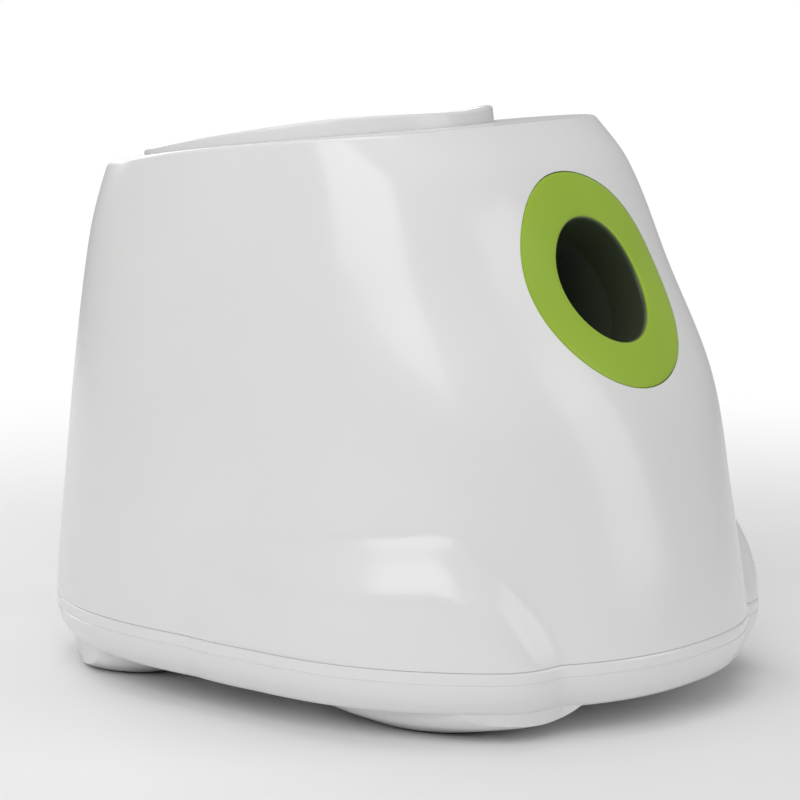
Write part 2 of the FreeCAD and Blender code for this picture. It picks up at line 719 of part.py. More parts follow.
def make_wheel_hub():
    tyre_inner = wheel_radius - tyre_thickness
    half = tyre_width / 2.0 - 1.0
    rim = tube(tyre_inner, tyre_inner - hub_rim, Vector(0, 0, -half), Vector(0, 0, half))
    web = rod(tyre_inner - hub_rim + 0.5, Vector(0, 0, -hub_web / 2), Vector(0, 0, hub_web / 2))
    boss = rod(hub_boss_radius, Vector(0, 0, -hub_boss_length / 2), Vector(0, 0, hub_boss_length / 2))
    hub = fuse([rim, web, boss])
    middle = (tyre_inner - hub_rim + hub_boss_radius) / 2.0
    for number in range(hub_holes):
        angle = math.radians(360.0 * number / hub_holes)
        centre = Vector(middle * math.cos(angle), middle * math.sin(angle), -hub_web)
        hub = hub.cut(rod(hub_hole_radius, centre, centre + Vector(0, 0, 2 * hub_web)))
    ribs = []
    for number in range(hub_holes):
        angle = 360.0 * (number + 0.5) / hub_holes
        rib = box(hub_boss_radius - 0.5, tyre_inner - hub_rim + 0.5, -1.0, 1.0, -half + 4.0, half - 4.0)
        rib.rotate(Vector(0, 0, 0), Vector(0, 0, 1), angle)
        ribs.append(rib)
    hub = fuse([hub] + ribs)
    return hub.cut(rod(shaft_radius, Vector(0, 0, -40), Vector(0, 0, 40)))


def make_wheel_tyre():
    half = tyre_width / 2.0
    inner = wheel_radius - tyre_thickness
    edge = wheel_radius + tyre_waist
    waist = Part.Arc(Vector(edge, 0, -half + 1.0), Vector(wheel_radius, 0, 0),
                     Vector(edge, 0, half - 1.0)).toShape()
    lines = Part.makePolygon([Vector(edge, 0, half - 1.0), Vector(edge - 1.0, 0, half),
                              Vector(inner, 0, half), Vector(inner, 0, -half),
                              Vector(edge - 1.0, 0, -half), Vector(edge, 0, -half + 1.0)])
    face = Part.Face(Part.Wire([waist] + lines.Edges))
    return face.revolve(Vector(0, 0, 0), Vector(0, 0, 1), 360)


def make_motor_shaft():
    bottom = -plate_drop - plate_thickness - motor_length + 6.0
    shaft = rod(shaft_radius, Vector(0, 0, bottom), Vector(0, 0, hub_boss_length / 2 - 1.0))
    flat = box(shaft_radius * 0.7, 5, -5, 5, -4.0, hub_boss_length)
    return shaft.cut(flat)


def make_motor_can():
    top = -plate_drop - plate_thickness
    can = rod(motor_radius, Vector(0, 0, top - motor_length), Vector(0, 0, top))
    can = can.makeFillet(1.5, [can.Edges[0]])
    boss = rod(motor_boss_radius, Vector(0, 0, top - 0.5), Vector(0, 0, top + motor_boss_height))
    band = tube(motor_radius + 1.0, motor_radius - 0.5, Vector(0, 0, top - motor_length * 0.75),
                Vector(0, 0, top - motor_length * 0.3))
    can = fuse([can, boss, band])
    can = can.cut(rod(shaft_radius + shaft_running_gap,
                      Vector(0, 0, top - motor_length + 5.0), Vector(0, 0, 10)))
    for side in (-1, 1):
        hole = rod(motor_screw_radius + screw_fit, Vector(0, side * motor_screw_circle, top - 6.0),
                   Vector(0, side * motor_screw_circle, top + 1.0))
        can = can.cut(hole)
    return can


def make_motor_cap():
    top = -plate_drop - plate_thickness - motor_length
    disc = rod(motor_cap_radius, Vector(0, 0, top - motor_cap_length), Vector(0, 0, top))
    nose = rod(motor_boss_radius - 1.0, Vector(0, 0, top - motor_cap_length - 2.0), Vector(0, 0, top - 1.0))
    cap = fuse([disc, nose])
    for side in (-1, 1):
        cap = cap.cut(box(-2.6, 2.6, side * 10.0 - 0.4, side * 10.0 + 0.4,
                          top - motor_cap_length - 1, top - 2.0))
    return cap


def make_motor_terminals():
    top = -plate_drop - plate_thickness - motor_length - 2.0
    tabs = []
    for side in (-1, 1):
        tab = box(-2.5, 2.5, side * 10.0 - 0.35, side * 10.0 + 0.35, top - terminal_length, top)
        hole = rod(0.8, Vector(0, side * 10.0 - 1, top - terminal_length + 2.0),
                   Vector(0, side * 10.0 + 1, top - terminal_length + 2.0))
        tabs.append(tab.cut(hole))
    return tabs


def gear_profile(teeth, phase, first, last):
    # points round an involute gear; only the teeth from first to last are cut
    pitch = gear_module * teeth / 2.0
    base = pitch * math.cos(math.radians(pressure_angle))
    tip = pitch + gear_addendum * gear_module
    root = pitch - gear_dedendum * gear_module
    half_tooth = (math.pi * gear_module / 2.0 - gear_backlash) / 2.0 / pitch
    inv_pitch = math.tan(math.radians(pressure_angle)) - math.radians(pressure_angle)
    points = []
    for number in range(first, last):
        middle = 2.0 * math.pi * number / teeth + phase
        radii = [max(base, root) + (tip - max(base, root)) * step / 3.0 for step in range(4)]
        flank = []
        for radius in radii:
            lean = math.acos(min(1.0, base / radius))
            flank.append((radius, half_tooth + inv_pitch - (math.tan(lean) - lean)))
        if root < base:
            flank.insert(0, (root, flank[0][1]))
        points += [(radius, middle - spread) for radius, spread in flank]
        points += [(radius, middle + spread) for radius, spread in reversed(flank)]
    return [Vector(0, radius * math.cos(angle), radius * math.sin(angle)) for radius, angle in points]


def make_gate_gear():
    # a toothed sector with its hub; tooth middles line up with the pinion's spaces at rest
    bearing = math.radians(pinion_bearing)
    tooth = 2.0 * math.pi / gear_teeth
    teeth_open = int(math.ceil(math.radians(gate_open_angle) / tooth))
    first, last = -teeth_open - 1, 3
    points = gear_profile(gear_teeth, bearing, first, last)
    hub_reach = gate_hub_radius + 1.5
    points += [Vector(0, hub_reach * math.cos(bearing + 1.1), hub_reach * math.sin(bearing + 1.1)),
               Vector(0, -hub_reach, 0.0),
               Vector(0, hub_reach * math.cos(bearing - 2.6), hub_reach * math.sin(bearing - 2.6))]
    sector = plate(points, gear_thickness, Vector(1, 0, 0))
    hub = rod(hub_reach, Vector(-1.0, 0, 0), Vector(gear_thickness + 2.0, 0, 0))
    gear = fuse([sector, hub]).cut(rod(gate_shaft_radius, Vector(-5, 0, 0), Vector(20, 0, 0)))
    gear.translate(Vector(gear_plane, gate_y, gate_z))
    return gear


def make_gate_pinion():
    bearing = math.radians(pinion_bearing) + math.pi
    phase = bearing + math.pi / pinion_teeth
    points = gear_profile(pinion_teeth, phase, 0, pinion_teeth)
    pinion = plate(points, gear_thickness + 1.0, Vector(1, 0, 0))
    pinion = pinion.cut(rod(gate_motor_shaft_radius, Vector(-5, 0, 0), Vector(20, 0, 0)))
    pinion.translate(Vector(gear_plane - 0.5, pinion_y, pinion_z))
    return pinion


def make_gate_motor():
    start = cheek_inner - gate_motor_length
    can = rod(gate_motor_radius, Vector(start, pinion_y, pinion_z), Vector(cheek_inner, pinion_y, pinion_z))
    can = can.makeFillet(1.2, [can.Edges[0]])
    nose = rod(4.0, Vector(cheek_inner - 1, pinion_y, pinion_z),
               Vector(cheek_inner + cheek_thickness + 0.5, pinion_y, pinion_z))
    back = rod(3.0, Vector(start - 1.5, pinion_y, pinion_z), Vector(start + 1, pinion_y, pinion_z))
    motor = fuse([can, nose, back])
    motor = motor.cut(rod(gate_motor_shaft_radius + shaft_running_gap,
                          Vector(start + 6.0, pinion_y, pinion_z), Vector(60, pinion_y, pinion_z)))
    for point in gate_screw_points():
        motor = motor.cut(rod(1.1, point + Vector(cheek_inner - 5.0, 0, 0),
                              point + Vector(cheek_inner + 1, 0, 0)))
    return motor


def make_gate_motor_shaft():
    start = cheek_inner - gate_motor_length + 7.0
    return rod(gate_motor_shaft_radius, Vector(start, pinion_y, pinion_z),
               Vector(gear_plane + gear_thickness + 1.0, pinion_y, pinion_z))


def make_gate_shaft():
    shaft = rod(gate_shaft_radius, Vector(-cheek_inner - cheek_thickness - 1.5, gate_y, gate_z),
                Vector(gear_plane + gear_thickness + 2.5, gate_y, gate_z))
    return shaft


def make_gate_flap():
    hub = rod(gate_hub_radius, Vector(-gate_hub_length / 2, 0, 0), Vector(gate_hub_length / 2, 0, 0))
    half = gate_width / 2.0
    corner = 9.0
    tip = -gate_length
    arc_left = Part.Arc(Vector(half, tip + corner, 0), Vector(half - corner * 0.293, tip + corner * 0.293, 0),
                        Vector(half - corner, tip, 0)).toShape()
    arc_right = Part.Arc(Vector(-half + corner, tip, 0),
                         Vector(-half + corner * 0.293, tip + corner * 0.293, 0),
                         Vector(-half, tip + corner, 0)).toShape()
    sides = [Part.makeLine(Vector(half, 0, 0), Vector(half, tip + corner, 0)),
             Part.makeLine(Vector(half - corner, tip, 0), Vector(-half + corner, tip, 0)),
             Part.makeLine(Vector(-half, tip + corner, 0), Vector(-half, 0, 0)),
             Part.makeLine(Vector(-half, 0, 0), Vector(half, 0, 0))]
    face = Part.Face(Part.Wire([sides[0], arc_left, sides[1], arc_right, sides[2], sides[3]]))
    paddle = face.extrude(Vector(0, 0, gate_thickness))
    paddle.translate(Vector(0, 0, -gate_thickness / 2))
    ribs = []
    for x in (-half * 0.55, half * 0.55):
        corners = [Vector(x - 1, -3.0, -1.0), Vector(x - 1, tip * 0.75, -1.0), Vector(x - 1, -3.0, -4.0)]
        ribs.append(plate(corners, 2.0, Vector(1, 0, 0)))
    flap = fuse([hub, paddle] + ribs)
    flap = flap.cut(rod(gate_shaft_radius, Vector(-60, 0, 0), Vector(60, 0, 0)))
    flap.translate(Vector(0, gate_y, gate_z))
    return flap


def circle_wire(radius, centre, normal):
    return Part.Wire([Part.makeCircle(radius, centre, normal)])


def make_ball_funnel():
    # the collar and bowl are seated in the deck, and the spout stands upright over the throat
    up = deck_turn.multVec(Vector(0, 0, 1))
    inner_radius = collar_radius - collar_wall
    spout_inner = bore_radius + 0.4
    spout_outer = bore_radius + duct_wall
    centres = [deck_frame.multVec(Vector(0, funnel_offset, -funnel_flange_drop))]
    radii = [inner_radius]
    normals = [up]
    for depth, shift, radius in bowl_rings:
        centres.append(deck_frame.multVec(Vector(0, funnel_offset + shift, depth)))
        radii.append(radius)
        normals.append((up + Vector(0, 0, 1)).normalize())
    centres.append(Vector(0, throat_y, spout_top))
    radii.append(spout_inner + 1.2)
    normals.append(Vector(0, 0, 1))
    inner = Part.makeLoft([circle_wire(r, c, n) for r, c, n in zip(radii, centres, normals)], True, False)
    outer = Part.makeLoft([circle_wire(r + funnel_wall, c, n) for r, c, n in zip(radii, centres, normals)],
                          True, False)
    spout = rod(spout_outer, Vector(0, throat_y, throat_top + 0.6), Vector(0, throat_y, spout_top + 0.5))
    spout_space = rod(spout_inner, Vector(0, throat_y, throat_top - 1), Vector(0, throat_y, spout_top + 6.0))
    collar = tube(collar_radius, inner_radius, Vector(0, funnel_offset, -funnel_flange_drop - 2.0),
                  Vector(0, funnel_offset, collar_front_height + 10.0))
    slope = math.degrees(math.atan2(collar_front_height - collar_rear_height, 2 * collar_radius))
    top = box(-200, 200, -200, 200, 0, 60)
    top.rotate(Vector(0, 0, 0), Vector(1, 0, 0), -slope)
    top.translate(Vector(0, funnel_offset, (collar_front_height + collar_rear_height) / 2.0))
    collar = collar.cut(top)
    lip = [edge for edge in collar.Edges
           if edge.BoundBox.ZMin > collar_rear_height - 2.0 and edge.Length > 300]
    collar = collar.makeFillet(collar_wall * 0.42, lip)
    flange = rod(funnel_flange_radius,
                 Vector(0, funnel_offset, -funnel_flange_drop - funnel_flange_thickness),
                 Vector(0, funnel_offset, -funnel_flange_drop))
    lugs = [rod(funnel_lug_radius, point + Vector(0, 0, -funnel_flange_drop - funnel_flange_thickness),
                point + Vector(0, 0, -funnel_flange_drop)) for point in funnel_lug_points()]
    webs = []
    for point in funnel_lug_points():
        away = Vector(point.x, point.y - funnel_offset, 0)
        web = box(collar_radius - 2.0, funnel_lug_circle, -funnel_lug_radius, funnel_lug_radius,
                  -funnel_flange_drop - funnel_flange_thickness, -funnel_flange_drop)
        web.rotate(Vector(0, 0, 0), Vector(0, 0, 1), math.degrees(math.atan2(away.y, away.x)))
        web.translate(Vector(0, funnel_offset, 0))
        webs.append(web)
    top_parts = fuse([collar, flange] + lugs + webs)
    funnel = fuse([outer, spout, placed(top_parts, deck_frame)])
    mouth = rod(inner_radius, Vector(0, funnel_offset, -funnel_flange_drop - 0.01),
                Vector(0, funnel_offset, 40))
    funnel = funnel.cut(inner).cut(spout_space).cut(placed(mouth, deck_frame))
    for point in funnel_lug_points():
        hole = rod(screw_radius + 0.15, point + Vector(0, 0, -20), point)
        funnel = funnel.cut(placed(hole, deck_frame))
    for side in (-1, 1):
        port = rod(sensor_radius + screw_fit, Vector(0, throat_y, sensor_height),
                   Vector(side * 60, throat_y, sensor_height))
        funnel = funnel.cut(port)
    return biggest(funnel)


def make_ball_sensors():
    # a light emitter and a receiver that look across the spout
    sensors = []
    for side in (-1, 1):
        start = Vector(side * (bore_radius + 0.8), throat_y, sensor_height)
        lens = rod(sensor_radius, start, start + Vector(side * (sensor_reach + 1.0), 0, 0))
        cap = rod(sensor_radius + 1.0, start + Vector(side * sensor_reach, 0, 0),
                  start + Vector(side * (sensor_reach + 4.5), 0, 0))
        sensors.append(lens.fuse(cap))
    return Part.makeCompound(sensors)


def stand_screw_points():
    points = []
    for y, half in ((front_stand_y, front_stand_half), (rear_stand_y, rear_stand_half)):
        points += [Vector(side * (half - 6.0), y - stand_foot_depth / 2 + 1.0, 0) for side in (-1, 1)]
    return points


def make_stand(y, half, leg_width, shoulder, saddle_top):
    # an upright moulded frame with two legs, a saddle for the duct and a foot on each leg
    floor = tray_bottom + shell_wall + 2.0
    top_half = bore_radius + duct_wall + 4.0
    outline = [Vector(-half, y, floor), Vector(-half + leg_width, y, floor),
               Vector(-top_half + leg_width + 2.0, y, shoulder - 14.0),
               Vector(top_half - leg_width - 2.0, y, shoulder - 14.0),
               Vector(half - leg_width, y, floor), Vector(half, y, floor),
               Vector(top_half, y, shoulder), Vector(top_half, y, saddle_top),
               Vector(-top_half, y, saddle_top), Vector(-top_half, y, shoulder)]
    frame = plate(outline, stand_thickness, Vector(0, 1, 0))
    feet = [box(min(side * half, side * (half - 12.0)), max(side * half, side * (half - 12.0)),
                y - stand_foot_depth + 4.0, y + stand_thickness, floor, floor + 3.0) for side in (-1, 1)]
    stand = fuse([frame] + feet)
    stand = stand.cut(duct_path(bore_radius + duct_wall + saddle_clearance))
    flange_space = duct_flange_plate(bore_radius + duct_wall + duct_flange + fit_gap,
                                     flange_thickness + fit_gap, -flange_thickness - fit_gap)
    stand = stand.cut(flange_space)
    for point in stand_screw_points():
        stand = stand.cut(rod(1.65, point + Vector(0, 0, floor - 5.0), point + Vector(0, 0, floor + 6.0)))
    return stand


def make_power_socket():
    start = Vector(socket_face_x - 3.0, socket_y, socket_z)
    bezel = rod(socket_radius, start, start + Vector(3.4, 0, 0))
    body = rod(socket_bore + 1.8, start + Vector(-socket_length + 3.0, 0, 0), start + Vector(1, 0, 0))
    socket = fuse([bezel, body])
    bore = rod(socket_bore, start + Vector(3.4 - socket_depth, 0, 0), start + Vector(10, 0, 0))
    return socket.cut(bore)


def make_socket_pin():
    start = Vector(socket_face_x + 0.4 - socket_depth, socket_y, socket_z)
    pin = rod(socket_pin_radius, start, start + Vector(socket_depth - 1.2, 0, 0))
    return pin.makeFillet(0.4, [pin.Edges[0]]) if pin.Edges else pin


def button_points():
    return [Vector(side * button_spacing / 2.0, -4.0, 0) for side in (-1, 1)]


def lens_points():
    return [Vector(step * lens_spacing, 8.0, 0) for step in (-1, 0, 1)]


def make_control_panel():
    face = panel_outline(0.0, panel_proud - panel_thickness, panel_proud)
    back = panel_outline(panel_ledge, -panel_flange_depth - panel_flange_thickness, -panel_flange_depth)
    neck = panel_outline(-1.5, -panel_flange_depth - 0.5, 0.0)
    panel = fuse([face, neck, back])
    panel = panel.cut(panel_outline(-4.0, -shell_wall - 8.0, panel_proud - panel_thickness))
    for point in button_points():
        panel = panel.cut(rod(button_radius + button_gap,
                              point + Vector(0, 0, -20), point + Vector(0, 0, 10)))
    for point in lens_points():
        panel = panel.cut(rod(lens_radius + screw_fit, point + Vector(0, 0, -20), point + Vector(0, 0, 10)))
    for point in panel_post_points():
        post = rod(2.6, point + Vector(0, 0, -panel_board_drop), point + Vector(0, 0, -panel_flange_depth))
        bore = rod(1.0, point + Vector(0, 0, -panel_board_drop - 1), point + Vector(0, 0, -5.0))
        panel = panel.fuse(post).cut(bore)
    return panel


def panel_post_points():
    return [Vector(side * (panel_width / 2.0 - 3.0), 0, 0) for side in (-1, 1)]


def make_button(point):
    # a round cap that is held behind the panel by its flange
    cap = rod(button_radius, point + Vector(0, 0, panel_proud - panel_thickness - 1.5),
              point + Vector(0, 0, panel_proud + button_proud - 0.6))
    top = [edge for edge in cap.Edges if abs(edge.BoundBox.ZMin - (panel_proud + button_proud - 0.6)) < 1e-6]
    cap = cap.makeFillet(1.0, [top[0]])
    flange = rod(button_radius + 1.4, point + Vector(0, 0, panel_proud - panel_thickness - 1.5),
                 point + Vector(0, 0, panel_proud - panel_thickness - 0.3))
    stem = rod(1.5, point + Vector(0, 0, panel_proud - panel_thickness - 2.6),
               point + Vector(0, 0, panel_proud - panel_thickness - 1.0))
    return fuse([cap, flange, stem])


def make_distance_lenses():
    lenses = []
    for point in lens_points():
        lens = rod(lens_radius, point + Vector(0, 0, panel_proud - panel_thickness - 3.0),
                   point + Vector(0, 0, panel_proud + 0.4))
        foot = rod(lens_radius + 0.8, point + Vector(0, 0, panel_proud - panel_thickness - 1.2),
                   point + Vector(0, 0, panel_proud - panel_thickness - 0.1))
        lenses.append(lens.fuse(foot))
    return Part.makeCompound(lenses)


def make_control_board():
    half_width = panel_width / 2.0 + 1.0
    half_height = panel_height / 2.0 - 2.5
    board = box(-half_width, half_width, -half_height, half_height, -panel_board_drop - board_thickness,
                -panel_board_drop)
    for point in panel_post_points():
        board = board.cut(rod(1.3, point + Vector(0, 0, -20), point + Vector(0, 0, 0)))
    return board


def make_panel_switches():
    # a small square key switch under each button, its own plunger just short of the button's travel
    switches = []
    stem_end = panel_proud - panel_thickness - 2.6
    for point in button_points():
        low = -panel_board_drop
        body = box(-3.0, 3.0, -3.0, 3.0, low, low + 1.8)
        body.translate(point)
        key = rod(1.4, point + Vector(0, 0, low + 1.0), point + Vector(0, 0, stem_end - button_travel - 0.1))
        switches.append(body.fuse(key))
    return Part.makeCompound(switches)


def make_indicator_leds():
    leds = []
    top = panel_proud - panel_thickness - 3.3
    for point in lens_points():
        seat = point + Vector(0, 0, -panel_board_drop)
        leds.append(fuse([rod(1.5, seat, point + Vector(0, 0, top)),
                          rod(1.9, seat, seat + Vector(0, 0, 0.8))]))
    return Part.makeCompound(leds)


def board_post_points():
    half_x, half_y = main_board_size[0] / 2.0 - 5.0, main_board_size[1] / 2.0 - 5.0
    return [Vector(x * half_x, main_board_y + y * half_y, 0) for x in (-1, 1) for y in (-1, 1)]


def make_main_board():
    half_x, half_y = main_board_size[0] / 2.0, main_board_size[1] / 2.0
    board = box(-half_x, half_x, main_board_y - half_y, main_board_y + half_y, main_board_z,
                main_board_z + board_thickness)
    for point in board_post_points():
        board = board.cut(rod(screw_radius + 0.1, point, point + Vector(0, 0, 100)))
    return board


def on_board(shape, x, y):
    moved = shape.copy()
    moved.translate(Vector(x, main_board_y + y, main_board_z + board_thickness))
    return moved


def make_board_capacitors():
    pieces = []
    for x in (-14.0, 1.0):
        can = Part.makeCylinder(5.0, 14.0)
        can = can.makeFillet(0.8, [can.Edges[0]])
        pieces.append(on_board(can, x, 22.0))
    return Part.makeCompound(pieces)


def make_motor_driver():
    # a finned heat sink over the two motor transistors
    base = box(-14, 14, -9, 9, 0, 3.0)
    fins = [box(-14 + step * 5.2, -12 + step * 5.2, -9, 9, 2.5, 12.0) for step in range(6)]
    return on_board(fuse([base] + fins), -20.0, -14.0)


def make_board_connectors():
    pieces = []
    for x, y in ((22.0, -28.0), (10.0, -28.0), (34.0, 4.0), (-34.0, 12.0)):
        shell = box(-4.5, 4.5, -3.0, 3.0, 0, 7.0).cut(box(-3.7, 3.7, -2.2, 2.2, 1.2, 8.0))
        pins = [rod(0.35, Vector(step * 2.0, 0, 0.5), Vector(step * 2.0, 0, 6.0)) for step in (-1, 0, 1)]
        pieces.append(on_board(fuse([shell] + pins), x, y))
    return Part.makeCompound(pieces)


def make_radio_module():
    board = box(-8, 8, -11, 11, 1.6, 2.6)
    can = box(-6, 6, -8, 5, 2.4, 4.8)
    header = box(-7, 7, 8.2, 10.2, 0, 1.8)
    return on_board(fuse([board, can, header]), 12.0, 2.0)


def make_buzzer():
    drum = Part.makeCylinder(6.0, 9.0)
    drum = drum.makeFillet(0.6, [drum.Edges[0]])
    return on_board(drum.cut(rod(1.2, Vector(0, 0, 6.0), Vector(0, 0, 10.0))), 27.0, 20.0)


def screws_at(places):
    # places: a list of (frame, length) with the head's seat at the frame's origin
    return Part.makeCompound([placed(screw(length), frame) for frame, length in places])


def down_at(point):
    return Placement(point, Rotation(Vector(1, 0, 0), 180.0))


outer_body = body_loft(body_stations)
inner_body = body_loft([seam_height - 1.0] + body_stations, shell_wall)
ring_seat = body_loft(ring_stations, shell_wall + ring_seat_gap)
ring_back = body_loft(ring_stations, shell_wall + ring_seat_gap + ring_flange_thickness)
tray_outer = body_loft(tray_stations)
tray_inner = body_loft([tray_bottom + shell_wall] + tray_stations[2:] + [seam_height + 1.0], shell_wall)

nodes = {}
nodes["upper_housing"] = make_upper_housing(outer_body, inner_body)
nodes["base_tray"] = make_base_tray(tray_outer, tray_inner)
nodes["ball_funnel"] = make_ball_funnel()
nodes["nozzle_ring"] = make_nozzle_ring(outer_body, (ring_seat, ring_back))
nodes["left_launch_duct"] = make_launch_duct("left")
nodes["right_launch_duct"] = make_launch_duct("right")
for side, frame in (("left", left_wheel_frame), ("right", right_wheel_frame)):
    nodes[side + "_wheel_hub"] = placed(make_wheel_hub(), frame)
    nodes[side + "_wheel_tyre"] = placed(make_wheel_tyre(), frame)
    nodes[side + "_motor_shaft"] = placed(make_motor_shaft(), frame)
    nodes[side + "_motor_can"] = placed(make_motor_can(), frame)
frames = (left_wheel_frame, right_wheel_frame)
nodes["motor_end_caps"] = Part.makeCompound([placed(make_motor_cap(), frame) for frame in frames])
nodes["motor_terminals"] = Part.makeCompound([placed(tab, frame) for frame in frames
                                              for tab in make_motor_terminals()])
nodes["gate_flap"] = make_gate_flap()
nodes["gate_shaft"] = make_gate_shaft()
nodes["gate_gear"] = make_gate_gear()
nodes["gate_pinion"] = make_gate_pinion()
nodes["gate_motor"] = make_gate_motor()
nodes["gate_motor_shaft"] = make_gate_motor_shaft()
nodes["ball_sensors"] = make_ball_sensors()
nodes["front_stand"] = make_stand(front_stand_y, front_stand_half, 9.0, 150.0, 180.0)
nodes["rear_stand"] = make_stand(rear_stand_y, rear_stand_half, 7.5, 104.0, 128.0)
nodes["battery_door"] = make_battery_door()
nodes["battery_contacts"] = make_battery_contacts()
nodes["rubber_feet"] = make_rubber_feet()
nodes["power_socket"] = make_power_socket()
nodes["socket_pin"] = make_socket_pin()
nodes["control_panel"] = placed(make_control_panel(), panel_frame)
nodes["power_button"] = placed(make_button(button_points()[0]), panel_frame)
nodes["distance_button"] = placed(make_button(button_points()[1]), panel_frame)
nodes["distance_lenses"] = placed(make_distance_lenses(), panel_frame)
nodes["control_board"] = placed(make_control_board(), panel_frame)
nodes["panel_switches"] = placed(make_panel_switches(), panel_frame)
nodes["indicator_leds"] = placed(make_indicator_leds(), panel_frame)
nodes["main_board"] = make_main_board()
nodes["board_capacitors"] = make_board_capacitors()
nodes["motor_driver"] = make_motor_driver()
nodes["board_connectors"] = make_board_connectors()
nodes["radio_module"] = make_radio_module()
nodes["buzzer"] = make_buzzer()

head_level = seam_height - 8.0
nodes["housing_screws"] = screws_at([(down_at(point + Vector(0, 0, head_level)), 26.0)
                                     for point in boss_points()])
duct_frames = [(Placement(point + Vector(flange_thickness, 0, 0), Rotation(Vector(0, 1, 0), 90.0)),
                2 * flange_thickness + 2.0) for point in duct_screw_points()]
nodes["duct_screws"] = screws_at(duct_frames)
motor_frames = []
for side in (1, -1):
    for point in motor_screw_points():
        place = Placement(Vector(side * point.x, point.y, point.z), Rotation(Vector(1, 0, 0), -90.0))
        motor_frames.append((launch_frame.multiply(place), plate_thickness + 5.0))
nodes["motor_screws"] = screws_at(motor_frames)
board_top = Vector(0, 0, main_board_z + board_thickness)
nodes["board_screws"] = screws_at([(Placement(point + board_top, Rotation()), 0.4)
                                   for point in board_post_points()])
stand_foot_top = Vector(0, 0, tray_bottom + shell_wall + 5.0)
nodes["stand_screws"] = screws_at([(Placement(point + stand_foot_top, Rotation()), 2.9)
                                   for point in stand_screw_points()])
nodes["funnel_screws"] = screws_at(
    [(deck_frame.multiply(down_at(point + Vector(0, 0, -funnel_flange_drop - funnel_flange_thickness))), 5.0)
     for point in funnel_lug_points()])

os.makedirs("parts", exist_ok=True)
for name, shape in nodes.items():
    shape.exportStep("parts/" + name + ".step")
    print(name, len(shape.Solids), round(shape.Volume), shape.isValid())
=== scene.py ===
import bpy
import bmesh
import json
import math
from mathutils import Matrix, Vector


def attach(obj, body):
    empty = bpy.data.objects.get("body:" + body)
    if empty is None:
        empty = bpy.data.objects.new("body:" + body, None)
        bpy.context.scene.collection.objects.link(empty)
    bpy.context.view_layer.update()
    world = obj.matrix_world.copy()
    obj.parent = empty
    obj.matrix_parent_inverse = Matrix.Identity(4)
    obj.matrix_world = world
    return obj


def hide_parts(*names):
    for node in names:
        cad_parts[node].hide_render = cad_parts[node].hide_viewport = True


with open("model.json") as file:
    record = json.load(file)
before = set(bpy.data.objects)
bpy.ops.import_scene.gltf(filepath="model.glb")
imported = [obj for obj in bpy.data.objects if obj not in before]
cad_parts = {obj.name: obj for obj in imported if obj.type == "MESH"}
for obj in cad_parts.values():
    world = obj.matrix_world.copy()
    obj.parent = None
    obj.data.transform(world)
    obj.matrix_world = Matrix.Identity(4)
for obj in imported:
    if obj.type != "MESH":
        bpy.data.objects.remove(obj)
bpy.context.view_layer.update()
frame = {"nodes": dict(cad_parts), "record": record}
nodes = frame["nodes"]
mm = 0.001
perMetre = 1000.0
print("frame loaded:", len(nodes), "nodes")


# The launch hole and the duct behind it, in millimetres, which several pieces and a finish follow

launch = {
    "tilt": 26.3, "y": -131.7, "z": 225.3, "bore": 35.0, "straight": 165.0, "bend": 45.0,
    "ringRadius": 62.0, "ringGap": 0.4, "flare": 3.0, "sleeve": 24.0, "sleeveWall": 3.0,
    "columns": 160, "cutterDepth": 80.0, "cutterShift": 12.0, "frontSearch": (-70.0, 30.0, 22),
}


# Small helpers

def deselectAll():
    if bpy.context.mode != "OBJECT":
        bpy.ops.object.mode_set(mode="OBJECT")
    bpy.ops.object.select_all(action="DESELECT")


def activate(piece):
    deselectAll()
    piece.select_set(True)
    bpy.context.view_layer.objects.active = piece


def applyModifier(piece, name, kind, **settings):
    modifier = piece.modifiers.new(name, kind)
    for key, value in settings.items():
        setattr(modifier, key, value)
    activate(piece)
    bpy.ops.object.modifier_apply(modifier=name)


def combine(piece, other, operation):
    applyModifier(piece, "shape", "BOOLEAN", object=other, operation=operation, solver="EXACT")
    bpy.data.objects.remove(other)


def settle(piece):
    # the place goes into the mesh, as on the pieces of the frame
    activate(piece)
    bpy.ops.object.transform_apply(location=True, rotation=True, scale=True)


def turnInto(piece, matrix):
    # a piece modelled in its own frame, in millimetres, is put where it belongs
    piece.data.transform(Matrix.Scale(mm, 4) @ matrix)
    piece.data.update()


def smoothByAngle(piece, degrees):
    activate(piece)
    bpy.ops.object.shade_smooth_by_angle(angle=math.radians(degrees))


def addBox(low, high):
    deselectAll()
    middle = [(a + b) / 2.0 * mm for a, b in zip(low, high)]
    bpy.ops.mesh.primitive_cube_add(size=1.0, location=middle,
                                    scale=[(b - a) * mm for a, b in zip(low, high)])
    piece = bpy.context.active_object
    settle(piece)
    return piece


def addRod(radius, start, end):
    deselectAll()
    along = Vector(end) - Vector(start)
    middle = (Vector(start) + Vector(end)) / 2.0 * mm
    bpy.ops.mesh.primitive_cylinder_add(
        vertices=48, radius=radius * mm, depth=along.length * mm, location=middle,
        rotation=along.to_track_quat("Z", "Y").to_euler())
    piece = bpy.context.active_object
    settle(piece)
    return piece


def turns(count):
    return [2.0 * math.pi * index / count for index in range(count)]


